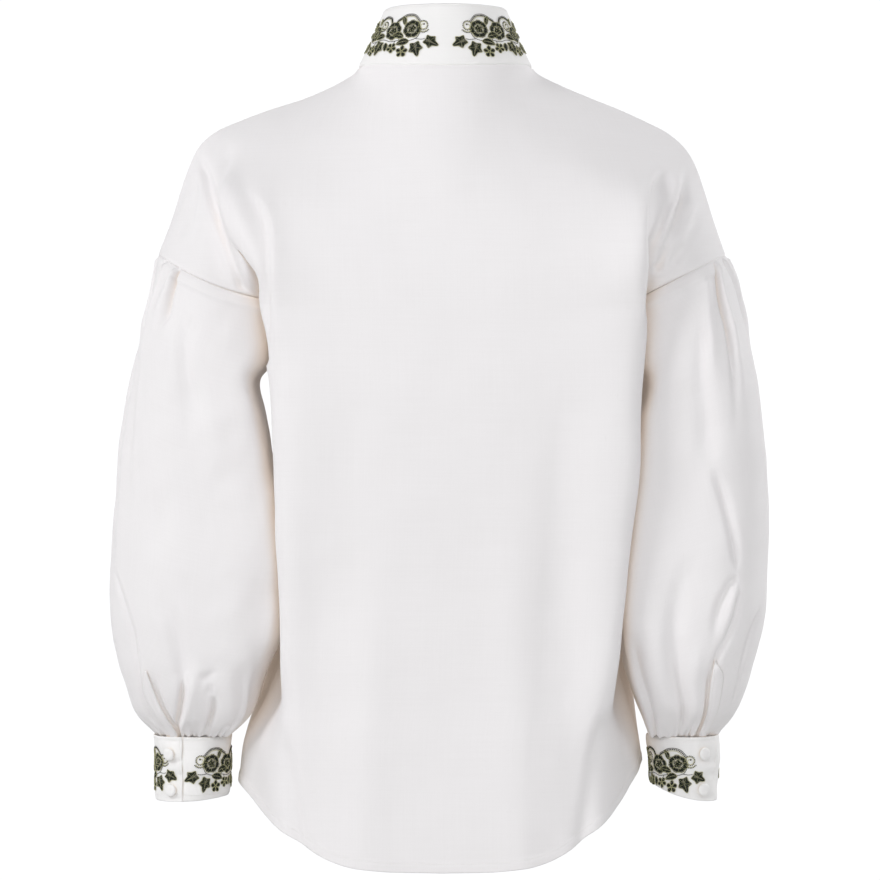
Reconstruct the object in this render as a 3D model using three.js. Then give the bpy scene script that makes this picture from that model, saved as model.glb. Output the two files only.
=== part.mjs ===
// An embroidered linen shirt, worn and hollow: a back, two fronts, a button placket, a stand collar,
// two full sleeves pleated into dropped armholes and gathered into cuffs, sleeve plackets, covered buttons.
// Millimetres. +Z is up, the front faces -Y and the wearer's left is +X. The origin is the middle of the
// neck opening, level with the collar seam at the back.
// A piece of cloth is a grid of points. Its rows run down the garment and its columns run clockwise seen
// from above, so that a column's step crossed with a row's step points out of the cloth.
import * as THREE from "three";

// ---- Cloth and seams ----
const CLOTH = 1.5; // wall of one layer
const SEAM_GAP = 0.3; // between pieces that are sewn edge to edge, or that lie on each other
const ARMHOLE_GAP = 0.45; // the sleeve's walls lean on the body's, so their seam is a little wider
const LAYER = CLOTH + SEAM_GAP; // how far one layer lies above another
const STRIP_SETBACK = 1.6; // how far a placket stops short of the collar or cuff

// ---- Neck and collar ----
const NECK = { halfWidth: 75.3, lean: 1.5, back: 62, front: 60, sideRise: 5, frontDrop: 45 };
const COLLAR = { height: 54, topHalfWidth: 54, topBack: 51, topFront: 52, topFrontDrop: 44 };
const FRONT_RUN = { from: 0.42, to: 1 }; // the share of the way forward over which the neck drops

// ---- Shoulder seam, from the side of the neck out and down to the armhole, for each side ----
const SHOULDER = [
  { at: 0.0, left: 76.8, right: 73.8, z: 5 },
  { at: 0.06, left: 83, right: 81, z: -2 },
  { at: 0.14, left: 100, right: 101, z: -12 },
  { at: 0.25, left: 125, right: 127, z: -23 },
  { at: 0.38, left: 156, right: 152, z: -33 },
  { at: 0.5, left: 185, right: 176, z: -44 },
  { at: 0.6, left: 206, right: 195, z: -54 },
  { at: 0.67, left: 218, right: 208, z: -65 },
  { at: 0.75, left: 226, right: 218, z: -80 },
  { at: 0.84, left: 234, right: 226, z: -102 },
  { at: 0.92, left: 242, right: 234, z: -129 },
  { at: 1.0, left: 254, right: 245, z: -162 },
];
const NECK_SHARE = 0.3; // the share of a panel's top edge that is neckline
const YOKE = { roundness: 2.2, fade: 4, sideShare: 1.5, cornerShare: 6, swell: 0.85 };

// ---- Armhole: an oval seam in a plane that slopes down to the body ----
// A seam's sag is how far it hangs at its middle.
const ARMHOLE = { halfDepth: 72, innerZ: -204, sagL: 7, sagR: 0 };
// How much squarer an arm's rings are at the corner between its back and the body, at the top and below.
const INNER_SQUARE = { armhole: 1.8, sleeve: 6 };

// ---- Body below the armholes, one row for each level ----
// back and front: how far the centre lies behind and before the side seam. edge: half the width across the
// back between its two side folds. fold: how far forward the cloth has rolled there. tuck, seam and lobe:
// half-widths at the hollow behind the seam, at the seam and before it. lean: how far it is off centre.
const LEVELS = [
  { z: -222, back: 111, front: 126, edge: 163, fold: 21, tuck: 157, seam: 156, lobe: 155, lean: -5 },
  { z: -265, back: 112, front: 128, edge: 159, fold: 20, tuck: 150, seam: 148, lobe: 151, lean: -7 },
  { z: -330, back: 111, front: 124, edge: 157, fold: 18, tuck: 142, seam: 141, lobe: 147, lean: -8 },
  { z: -400, back: 108, front: 119, edge: 153, fold: 18, tuck: 137, seam: 137, lobe: 145, lean: -6 },
  { z: -470, back: 106, front: 116, edge: 148, fold: 18, tuck: 132, seam: 134, lobe: 145, lean: -3 },
  { z: -520, back: 106, front: 115, edge: 145, fold: 18, tuck: 137, seam: 148, lobe: 159, lean: -1 },
  { z: -552, back: 106, front: 114, edge: 142, fold: 19, tuck: 146, seam: 160, lobe: 167, lean: 1 },
  { z: -578, back: 107, front: 113, edge: 141, fold: 20, tuck: 155, seam: 171, lobe: 170, lean: 4.5 },
  { z: -615, back: 107, front: 113, edge: 141, fold: 22, tuck: 161, seam: 177, lobe: 170, lean: 5 },
  { z: -700, back: 106, front: 112, edge: 144, fold: 24, tuck: 165, seam: 177, lobe: 164, lean: 4 },
];
const MIDDLE = { share: 0.53, backDip: 2, frontDip: 5 }; // a point between the centre and the side fold
const TUCK_Y = 36;
const LOBE_Y = -52;
const FRONT_EDGE = { share: 0.94, fold: 30 }; // the front's side fold, against the back's
const KNOTS = [0, 0.35, 0.7, 0.86, 1]; // where centre, middle, edge, tuck or lobe, and seam lie on a level
const UNDERARM_CENTRE_Z = -215;

// ---- Shirt tail: the height of the hem at a share of the way from the centre to the side seam ----
const HEM = [
  { share: 0.0, back: -692, front: -672 },
  { share: 0.25, back: -690, front: -669 },
  { share: 0.4, back: -685, front: -660 },
  { share: 0.62, back: -663, front: -641 },
  { share: 0.8, back: -640, front: -625 },
  { share: 1.0, back: -613, front: -613 },
];
const HEM_TILT = -8; // the left side hangs lower than the right

// ---- Largest folds of the body: from one share s to another, as the height v runs down ----
const BODY_FOLDS = [
  { face: "back", side: 1, fromS: 0.77, fromV: 0.1, toS: 0.83, toV: 1.1, width: 0.05, depth: -7 },
  { face: "back", side: 1, fromS: 0.66, fromV: 0.15, toS: 0.72, toV: 1.25, width: 0.07, depth: 5 },
  { face: "back", side: -1, fromS: 0.76, fromV: 0.12, toS: 0.84, toV: 1.05, width: 0.05, depth: -7 },
  { face: "back", side: -1, fromS: 0.64, fromV: 0.15, toS: 0.71, toV: 1.25, width: 0.07, depth: 5 },
  { face: "front", side: 1, fromS: 0.76, fromV: 0.1, toS: 0.85, toV: 1.1, width: 0.05, depth: -7 },
  { face: "front", side: -1, fromS: 0.78, fromV: 0.1, toS: 0.84, toV: 1.15, width: 0.05, depth: -7 },
];

// ---- Sleeve, one row for each ring, at a share of the way down ----
// outL, outR, inL and inR: how far out the ring's outer and inner ends lie on the left and the right arm.
// outZ and inZ: their heights. depth: half its size from front to back. square: how square its corners are.
const SLEEVE = [
  { at: 0.05, outL: 258, outR: 253, outZ: -182, inL: 152, inR: 161, inZ: -244, depth: 76, square: 2.1 },
  { at: 0.15, outL: 266, outR: 261, outZ: -217, inL: 165, inR: 172, inZ: -272, depth: 79, square: 2.3 },
  { at: 0.28, outL: 277, outR: 271, outZ: -264, inL: 159, inR: 167, inZ: -305, depth: 80, square: 2.4 },
  { at: 0.42, outL: 287, outR: 278, outZ: -323, inL: 151, inR: 161, inZ: -350, depth: 80, square: 2.5 },
  { at: 0.56, outL: 292, outR: 282, outZ: -386, inL: 144, inR: 155, inZ: -400, depth: 81, square: 2.5 },
  { at: 0.69, outL: 296, outR: 282, outZ: -440, inL: 141, inR: 149, inZ: -449, depth: 82, square: 2.5 },
  { at: 0.79, outL: 294, outR: 277, outZ: -487, inL: 143, inR: 150, inZ: -492, depth: 80, square: 2.4 },
  { at: 0.88, outL: 286, outR: 266, outZ: -529, inL: 160, inR: 158, inZ: -531, depth: 71, square: 2.2 },
  { at: 0.95, outL: 274, outR: 254, outZ: -563, inL: 172, inR: 171, inZ: -564, depth: 54, square: 2.0 },
  { at: 1.0, outL: 256, outR: 239, outZ: -582, inL: 190, inR: 177, inZ: -582, depth: 37, square: 2.0 },
];
// Turns round an arm are in degrees: 0 is the outside of the arm, 90 its back and 180 the side by the body.
const CAP_PLEATS = { turns: [56, 26, -6, -34], lead: 12, depth: 6, fadeAt: 0.34 };
const GATHERS = { depth: 1.7, from: 0.8, full: 0.95 };

// ---- Cuffs: turns of the flap's free edge and of the sleeve placket's free edge. button is how far in ----
// from the flap's edge its buttons are, in degrees.
// innerLift is how much higher the cuff's edge is on the side by the body.
const ARMS = {
  left: { side: 1, flap: 78, flapFrom: -1, slit: 66, innerLift: 4, button: 18 },
  right: { side: -1, flap: 34, flapFrom: 1, slit: 58, innerLift: 15, button: 29 },
};
const CUFF = { height: 57, taper: 2.5, step: 15, overlapSteps: 2, fadeSteps: 4 };
const SLEEVE_PLACKET = { from: 0.86, width: 13, lift: 0.5 };

// ---- Front placket and buttons ----
const PLACKET = { halfWidth: 16, joinX: -9 };
const BUTTON = { radius: 5.6, height: 3.6, lift: 0.6, segments: 12 };
const CUFF_BUTTONS = [0.26, 0.82]; // shares down the cuff
const FRONT_BUTTONS = { count: 7, firstZ: -92, lastZ: -560 };
const COLLAR_BUTTONS = [0.28, 0.72]; // shares down the collar

// ---- How finely the cloth is cut up ----
const UPPER_ROWS = 10;
const LOWER_ROWS = 7;
const COLLAR_ROWS = 3;
const CUFF_ROWS = 2;
const NECK_SHARES = [0, 0.05, 0.1, 0.15, 0.2, 0.25, 0.3];
const SIDE_SHARES = [0.36, 0.45, 0.54, 0.63, 0.7, 0.76, 0.81, 0.86, 0.93, 1];
const SLEEVE_ROWS = [0, 0.04, 0.1, 0.18, 0.28, 0.38, 0.48, 0.58, 0.67, 0.75, 0.82, 0.88, 0.93, 0.97, 1];

const linen = new THREE.MeshStandardMaterial({ color: 0xf1eee9, roughness: 0.92, metalness: 0 });
const embroideredLinen = new THREE.MeshStandardMaterial({ color: 0xeeebe4, roughness: 0.9, metalness: 0 });
const coveredButton = new THREE.MeshStandardMaterial({ color: 0xf4f2ee, roughness: 0.8, metalness: 0 });

const vector = (x, y, z) => new THREE.Vector3(x, y, z);
const mix = (a, b, t) => a + (b - a) * t;
const radians = THREE.MathUtils.degToRad;
const degrees = THREE.MathUtils.radToDeg;
const ease = (low, high, x) => THREE.MathUtils.smoothstep(x, low, high);
const bell = (x) => Math.exp(-x * x);
const range = (count) => Array.from({ length: count }, (_, i) => i);

// A smooth curve through points (knots[i], values[i]). Slopes at the two ends can be given.
function smooth(knots, values, at, startSlope, endSlope) {
  const last = knots.length - 1;
  const run = (i) => knots[i + 1] - knots[i];
  const chord = (i) => (values[i + 1] - values[i]) / run(i);
  const slope = (i) => {
    if (i === 0) return startSlope ?? chord(0);
    if (i === last) return endSlope ?? chord(last - 1);
    return (chord(i - 1) * run(i) + chord(i) * run(i - 1)) / (knots[i + 1] - knots[i - 1]);
  };
  const rising = Math.sign(knots[last] - knots[0]);
  let i = 0;
  while (i < last - 1 && (knots[i + 1] - at) * rising < 0) i += 1;
  const t = THREE.MathUtils.clamp((at - knots[i]) / run(i), 0, 1);
  const t2 = t * t;
  const t3 = t2 * t;
  return (2 * t3 - 3 * t2 + 1) * values[i] + (t3 - 2 * t2 + t) * run(i) * slope(i) +
    (3 * t2 - 2 * t3) * values[i + 1] + (t3 - t2) * run(i) * slope(i + 1);
}

// One column of a table, read where its driver column stands at a value.
const column = (table, driver, name, at) =>
  smooth(table.map((row) => row[driver]), table.map((row) => row[name]), at);

// ---- Neck ----
// The angle round the neck is 0 at the back, 90 at the wearer's left, 180 in front and 270 at the right.
function neckRing(angle, halfWidth, back, front, z) {
  const across = Math.sin(radians(angle));
  const along = Math.cos(radians(angle));
  return vector(NECK.lean + halfWidth * across, (along > 0 ? back : front) * along, z);
}

const forwardShare = (angle) => (1 - Math.cos(radians(angle))) / 2;
const frontRun = (angle) => ease(FRONT_RUN.from, FRONT_RUN.to, forwardShare(angle));

function neckline(angle) {
  const rise = NECK.sideRise * Math.sin(radians(angle)) ** 2;
  return neckRing(angle, NECK.halfWidth, NECK.back, NECK.front, rise - NECK.frontDrop * frontRun(angle));
}

function collarTop(angle) {
  const z = COLLAR.height - COLLAR.topFrontDrop * frontRun(angle);
  return neckRing(angle, COLLAR.topHalfWidth, COLLAR.topBack, COLLAR.topFront, z);
}

// At the collar seam, the collar and the body lean on the same direction, so that their walls meet.
function neckSeam(angle) {
  const forward = forwardShare(angle) > 0.5;
  const turned = ((angle + 180) % 360) - 180;
  const s = NECK_SHARE * (forward ? Math.sign(turned) * 180 - turned : turned) / 90;
  const base = neckline(angle);
  const face = forward ? "front" : "back";
  const along = neckline(angle + 1).sub(neckline(angle - 1)).normalize();
  const below = body(face, s, 0.05).sub(base).normalize();
  const down = base.clone().sub(collarTop(angle)).normalize().add(below);
  const normal = along.cross(down).normalize();
  return { base, normal, up: down.normalize().negate() };
}

const neckAngleAt = (x) => 180 - degrees(Math.asin((x - NECK.lean) / NECK.halfWidth));

// ---- Body surface ----
// face is "back" or "front". s runs from -1, the wearer's right seam, over 0, the centre, to 1, the left.
// v runs from 0, the neckline and shoulder seam, over 1, the level of the underarm, to 2, the hem.
const sideName = (side) => (side < 0 ? "right" : "left");

function shoulderPoint(side, at) {
  return vector(side * column(SHOULDER, "at", sideName(side), at), 0, column(SHOULDER, "at", "z", at));
}

function topEdge(face, s) {
  const share = Math.abs(s);
  if (share > NECK_SHARE) return shoulderPoint(Math.sign(s), (share - NECK_SHARE) / (1 - NECK_SHARE));
  const angle = 90 * (s / NECK_SHARE);
  return neckline(face === "back" ? angle : 180 - angle);
}

// The top edge without its corner at the side of the neck.
function roundedTop(face, s) {
  const share = Math.abs(s);
  const centre = topEdge(face, 0);
  const end = shoulderPoint(s < 0 ? -1 : 1, 1);
  const z = mix(centre.z, end.z, share ** YOKE.roundness);
  return vector(mix(centre.x, end.x, share), centre.y * (1 - share) ** 2, z);
}

// A point of the body below the underarm, at a height.
function level(face, s, z) {
  const value = (name) => column(LEVELS, "z", name, z);
  const isBack = face === "back";
  const reach = value(face);
  const edge = value("edge") * (isBack ? 1 : FRONT_EDGE.share);
  const xs = [0, MIDDLE.share * edge, edge, value(isBack ? "tuck" : "lobe"), value("seam")];
  const dip = isBack ? MIDDLE.backDip : MIDDLE.frontDip;
  const fold = isBack ? value("fold") : FRONT_EDGE.fold;
  const ys = [reach, reach - dip, reach - fold, isBack ? TUCK_Y : -LOBE_Y, 0];
  const x = smooth(KNOTS, xs, Math.abs(s), undefined, 0);
  const y = smooth(KNOTS, ys, Math.abs(s), 0);
  return vector(value("lean") + Math.sign(s) * x, isBack ? y : -y, z);
}

const underarmZ = (s) => mix(UNDERARM_CENTRE_Z, ARMHOLE.innerZ, s * s);
const hemZ = (face, s) => column(HEM, "share", face, Math.abs(s)) + HEM_TILT * s ** 3;

// How far out and how far back a turn lies on an arm's ring, each from -1 to 1.
function onRing(turn, square, innerSquare) {
  const across = Math.cos(radians(turn));
  const along = Math.sin(radians(turn));
  const power = square + 2 * innerSquare * Math.max(0, -across) * Math.max(0, along);
  const radius = (Math.abs(across) ** power + Math.abs(along) ** power) ** (-1 / power);
  return { across: radius * across, along: radius * along };
}

// The armhole. The turn is 0 on the shoulder, 90 at the back, 180 under the arm and 270 at the front.
function armholeSag(side, share) {
  return (side < 0 ? ARMHOLE.sagR : ARMHOLE.sagL) * Math.sin(Math.PI * share);
}

function armhole(side, turn, innerSquare = INNER_SQUARE.armhole) {
  const out = shoulderPoint(side, 1);
  const inner = level("back", side, ARMHOLE.innerZ);
  const ring = onRing(turn, 2, innerSquare);
  const share = (1 - ring.across) / 2;
  const point = out.lerp(inner, share);
  point.y = ARMHOLE.halfDepth * ring.along;
  point.z -= armholeSag(side, share);
  return point;
}

// Above the underarm, the cloth is spanned between its four edges.
function yoke(face, s, v) {
  const side = s < 0 ? -1 : 1;
  const share = Math.abs(s);
  const wide = share ** YOKE.sideShare;
  const rounded = roundedTop(face, s);
  const topCentre = topEdge(face, 0);
  const topEnd = shoulderPoint(side, 1);
  const lowCentre = level(face, 0, underarmZ(0));
  const lowEnd = level(face, side, underarmZ(1));
  const centre = topCentre.clone().lerp(lowCentre, v);
  centre.y = mix(topCentre.y, lowCentre.y, Math.sin((Math.PI / 2) * v) ** YOKE.swell);
  const turn = face === "back" ? 180 * v : 360 - 180 * v;
  const oval = armhole(side, turn, 0);
  const corner = armhole(side, turn).sub(oval);
  return rounded.clone().multiplyScalar(1 - v)
    .addScaledVector(topEdge(face, s).sub(rounded), (1 - v) ** YOKE.fade)
    .addScaledVector(level(face, s, underarmZ(s)), v)
    .addScaledVector(centre.sub(topCentre.lerp(lowCentre, v)), 1 - wide)
    .addScaledVector(oval.sub(topEnd.lerp(lowEnd, v)), wide)
    .addScaledVector(corner, share ** YOKE.cornerShare);
}

function body(face, s, v) {
  if (v <= 1) return yoke(face, s, v);
  return level(face, s, mix(underarmZ(s), hemZ(face, s), v - 1));
}

// How far the folds lift or sink the cloth.
function bodyFold(face, s, v) {
  return BODY_FOLDS.filter((fold) => fold.face === face && fold.side === Math.sign(s))
    .map((fold) => {
      const along = (v - fold.fromV) / (fold.toV - fold.fromV);
      const fade = ease(0, 0.3, along) * (1 - ease(0.7, 1, along));
      return fold.depth * fade * bell((Math.abs(s) - mix(fold.fromS, fold.toS, along)) / fold.width);
    })
    .reduce((sum, lift) => sum + lift, 0);
}

// ---- Grids and walls ----
// The direction out of the cloth at each point of a grid.
function normalsOf(grid, closed = false) {
  return grid.map((row, i) => row.map((_, j) => {
    const count = row.length;
    const nextJ = closed ? (j + 1) % count : Math.min(j + 1, count - 1);
    const lastJ = closed ? (j + count - 1) % count : Math.max(j - 1, 0);
    const across = row[nextJ].clone().sub(row[lastJ]);
    const down = grid[Math.min(i + 1, grid.length - 1)][j].clone().sub(grid[Math.max(i - 1, 0)][j]);
    return across.cross(down).normalize();
  }));
}

// Moves a grid's points along its normals by an amount that depends on the place.
const moved = (grid, normals, amount) =>
  grid.map((row, i) => row.map((point, j) => point.clone().addScaledVector(normals[i][j], amount(i, j))));

// A closed wall: the grid is its outer face, and the inner face lies CLOTH inside it.
function wall(outer, normals, closed = false) {
  const inner = moved(outer, normals, () => -CLOTH);
  const rows = outer.length;
  const columns = outer[0].length;
  const points = [...outer.flat(), ...inner.flat()];
  const out = (i, j) => i * columns + (j % columns);
  const inn = (i, j) => rows * columns + out(i, j);
  const triangles = [];
  const quad = (a, b, c, d) => triangles.push(a, b, c, a, c, d);
  const spans = closed ? columns : columns - 1;
  for (let j = 0; j < spans; j += 1) {
    for (let i = 0; i < rows - 1; i += 1) {
      quad(out(i, j), out(i, j + 1), out(i + 1, j + 1), out(i + 1, j));
      quad(inn(i, j), inn(i + 1, j), inn(i + 1, j + 1), inn(i, j + 1));
    }
    quad(out(0, j), inn(0, j), inn(0, j + 1), out(0, j + 1));
    quad(out(rows - 1, j), out(rows - 1, j + 1), inn(rows - 1, j + 1), inn(rows - 1, j));
  }
  for (let i = 0; i < rows - 1 && !closed; i += 1) {
    quad(out(i, 0), out(i + 1, 0), inn(i + 1, 0), inn(i, 0));
    quad(out(i, spans), inn(i, spans), inn(i + 1, spans), out(i + 1, spans));
  }
  const geometry = new THREE.BufferGeometry();
  const numbers = points.flatMap((point) => point.toArray());
  geometry.setAttribute("position", new THREE.Float32BufferAttribute(numbers, 3));
  geometry.setIndex(triangles);
  geometry.computeVertexNormals();
  return geometry;
}

const shirt = new THREE.Group();
shirt.name = "shirt";

function add(name, geometry, material) {
  const mesh = new THREE.Mesh(geometry, material.clone());
  mesh.name = name;
  shirt.add(mesh);
}

// Draws an end row of a strip back along the strip, clear of the seam there.
const drawBack = (row, next) =>
  row.forEach((point, j) => point.add(next[j].clone().sub(point).setLength(STRIP_SETBACK)));

// ---- Body panels ----
const bodyRows = [
  ...range(UPPER_ROWS + 1).map((i) => i / UPPER_ROWS),
  ...range(LOWER_ROWS).map((i) => 1 + (i + 1) / LOWER_ROWS),
];
const shares = [...NECK_SHARES, ...SIDE_SHARES];
const frontShares = shares.slice(2); // the fronts keep these, and have their own columns by the placket

// The share s of the front where it crosses a given x.
function frontShareAt(x, v) {
  let low = -0.3;
  let high = 0.3;
  for (let step = 0; step < 40; step += 1) {
    const middle = (low + high) / 2;
    if (body("front", middle, v).x < x) low = middle;
    else high = middle;
  }
  return (low + high) / 2;
}

// At a seam, the back and the front lean on the same direction, so that their walls meet.
function seamNormal(s, v) {
  const step = 0.004;
  const inner = s - Math.sign(s) * step;
  const sum = vector(0, 0, 0);
  for (const face of ["back", "front"]) {
    const turned = Math.sign(s) * (face === "back" ? 1 : -1);
    const across = body(face, s, v).sub(body(face, inner, v)).multiplyScalar(turned);
    const down = body(face, inner, Math.min(2, v + step)).sub(body(face, inner, Math.max(0, v - step)));
    sum.add(across.cross(down).normalize());
  }
  return sum.normalize();
}

// The direction out of the front where the two fronts meet.
function joinNormal(v) {
  const step = 0.004;
  const s = frontShareAt(PLACKET.joinX, v);
  const across = body("front", s - step, v).sub(body("front", s + step, v));
  const down = body("front", s, Math.min(2, v + step)).sub(body("front", s, Math.max(0, v - step)));
  return across.cross(down).normalize();
}

// The outer face of a body panel and its normals. Its seam edges are drawn back by half the seam gap.
function panelFace(face, sharesOfRow) {
  const shareOf = (i, j) => sharesOfRow(bodyRows[i])[j];
  const plain = bodyRows.map((v) => sharesOfRow(v).map((s) => body(face, s, v)));
  const folded = moved(plain, normalsOf(plain), (i, j) => bodyFold(face, shareOf(i, j), bodyRows[i]));
  const normals = normalsOf(folded);
  const faceSign = face === "back" ? 1 : -1;
  const grid = folded.map((row, i) => row.map((point, j) => {
    const v = bodyRows[i];
    const s = shareOf(i, j);
    const atSide = Math.abs(s) > 0.999;
    const onShoulder = i === 0 && Math.abs(s) > NECK_SHARE - 0.001;
    const atJoin = face === "front" && Math.abs(s) < NECK_SHARES[2] && (j === 0 || j === row.length - 1);
    if (atJoin) normals[i][j] = joinNormal(v);
    const onNeck = i === 0 && Math.abs(s) < NECK_SHARE + 0.001;
    if (onShoulder || (atSide && v >= 1)) normals[i][j] = seamNormal(s, v);
    const neckAngle = (face === "back" ? 0 : 180) + (faceSign * 90 * s) / NECK_SHARE;
    if (onNeck) normals[i][j] = neckSeam(neckAngle).normal;
    if (onShoulder || (atSide && v >= 1)) {
      const inward = onShoulder ? folded[1][j] : row[j === 0 ? 1 : j - 1];
      return point.clone().add(inward.clone().sub(point).setLength(SEAM_GAP / 2));
    }
    return point;
  }));
  return { grid, normals };
}

const back = panelFace("back", () => [...shares.slice(1).map((s) => -s).reverse(), ...shares]);
add("back", wall(back.grid, back.normals), linen);

const placketLeft = (v) => frontShareAt(PLACKET.halfWidth, v);
const placketRight = (v) => frontShareAt(-PLACKET.halfWidth, v);
const frontLeft = panelFace("front", (v) =>
  [...frontShares.slice().reverse(), placketLeft(v), frontShareAt(PLACKET.joinX + SEAM_GAP, v)]);
const frontRight = panelFace("front", (v) =>
  [frontShareAt(PLACKET.joinX, v), placketRight(v), ...frontShares.map((s) => -s)]);
add("front_left", wall(frontLeft.grid, frontLeft.normals), linen);
add("front_right", wall(frontRight.grid, frontRight.normals), linen);

// The placket lies on both fronts, over their join.
const placketBase = bodyRows.map((_, i) =>
  [frontLeft.grid[i].at(-2), frontRight.grid[i][0], frontRight.grid[i][1]]);
const placketNormals = bodyRows.map((_, i) =>
  [frontLeft.normals[i].at(-2), frontRight.normals[i][0], frontRight.normals[i][1]]);
const placketGrid = moved(placketBase, placketNormals, () => LAYER);
drawBack(placketGrid[0], placketGrid[1]);
add("front_placket", wall(placketGrid, placketNormals), linen);

// ---- Collar, from its outer end left of the centre front round the right, the back and the left ----
const neckAngles = shares.filter((s) => s <= NECK_SHARE).map((s) => 90 * (s / NECK_SHARE));
const endAngles = [PLACKET.halfWidth, PLACKET.joinX, -PLACKET.halfWidth].map(neckAngleAt);
const collarAngles = [
  ...endAngles,
  ...neckAngles.slice(2).map((angle) => 180 + angle),
  ...neckAngles.slice(0, -1).reverse().map((angle) => 360 - angle),
  ...neckAngles.slice(1).map((angle) => 360 + angle),
  ...neckAngles.slice(2, -1).reverse().map((angle) => 540 - angle),
  ...endAngles.map((angle) => 360 + angle),
];
const collarPlain = range(COLLAR_ROWS + 1).map((i) => collarAngles.map((angle) => {
  if (i < COLLAR_ROWS) return collarTop(angle).lerp(neckline(angle), i / COLLAR_ROWS);
  const seam = neckSeam(angle);
  return seam.base.addScaledVector(seam.up, SEAM_GAP);
}));
const collarNormals = normalsOf(collarPlain);
collarAngles.forEach((angle, j) => {
  collarNormals[COLLAR_ROWS][j] = neckSeam(angle).normal;
});
const collarLift = (angle) => LAYER * 1.2 * (1 - ease(neckAngleAt(-PLACKET.halfWidth), 245, angle));
const collarGrid = moved(collarPlain, collarNormals, (_, j) => collarLift(collarAngles[j]));
add("collar", wall(collarGrid, collarNormals), embroideredLinen);

// ---- Sleeves ----
// The turns of a sleeve's columns: the armhole's own steps, with more at the pleats and the sleeve placket.
function sleeveTurns(arm) {
  const step = 180 / UPPER_ROWS;
  const steps = range(360 / step).map((i) => i * step);
  const pleats = CAP_PLEATS.turns.flatMap((turn) => [turn - 3, turn + 1, turn + CAP_PLEATS.lead]);
  const slit = [0, 9, 18].map((turn) => arm.slit - turn);
  const fine = [...pleats, ...slit].map((turn) => (turn + 360) % 360);
  const kept = fine.filter((turn) => !steps.some((other) => Math.abs(other - turn) < 2.5));
  return [...steps, ...kept].sort((a, b) => a - b)
    .filter((turn, i, all) => i === 0 || turn - all[i - 1] > 1.5);
}

// The armhole seam runs straight between the body's own points on it.
function armholeSeam(side, turn) {
  const step = 180 / UPPER_ROWS;
  const low = Math.floor(turn / step) * step;
  return armhole(side, low).lerp(armhole(side, low + step), (turn - low) / step);
}

function sleevePoint(side, turn, v) {
  const name = side < 0 ? "R" : "L";
  const seamOut = armhole(side, 0);
  const seamIn = armhole(side, 180);
  const first = { at: 0, outZ: seamOut.z, inZ: seamIn.z, depth: ARMHOLE.halfDepth, square: 2 };
  first[`out${name}`] = side * seamOut.x;
  first[`in${name}`] = side * seamIn.x;
  const value = (key) => column([first, ...SLEEVE], "at", key, v);
  const innerSquare = mix(INNER_SQUARE.armhole, INNER_SQUARE.sleeve, ease(0, 0.2, v));
  const ring = onRing(turn, value("square"), innerSquare);
  const share = (1 - ring.across) / 2;
  const x = side * mix(value(`out${name}`), value(`in${name}`), share);
  const sag = armholeSag(side, share) * (1 - ease(0, 0.2, v));
  return vector(x, value("depth") * ring.along, mix(value("outZ"), value("inZ"), share) - sag);
}

// Pressed pleats: each rises slowly from its front and drops at its back edge.
function pleatLift(turn, v) {
  const fade = ease(0, 0.06, v) * (1 - ease(0.08, CAP_PLEATS.fadeAt, v));
  return CAP_PLEATS.turns.map((pleat) => {
    const from = ((turn - pleat + 540) % 360) - 180;
    const slope = from < 0 ? ease(-4, 0, from) : 1 - ease(0, CAP_PLEATS.lead * 2, from);
    return CAP_PLEATS.depth * fade * slope;
  }).reduce((sum, lift) => sum + lift, 0);
}

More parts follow.
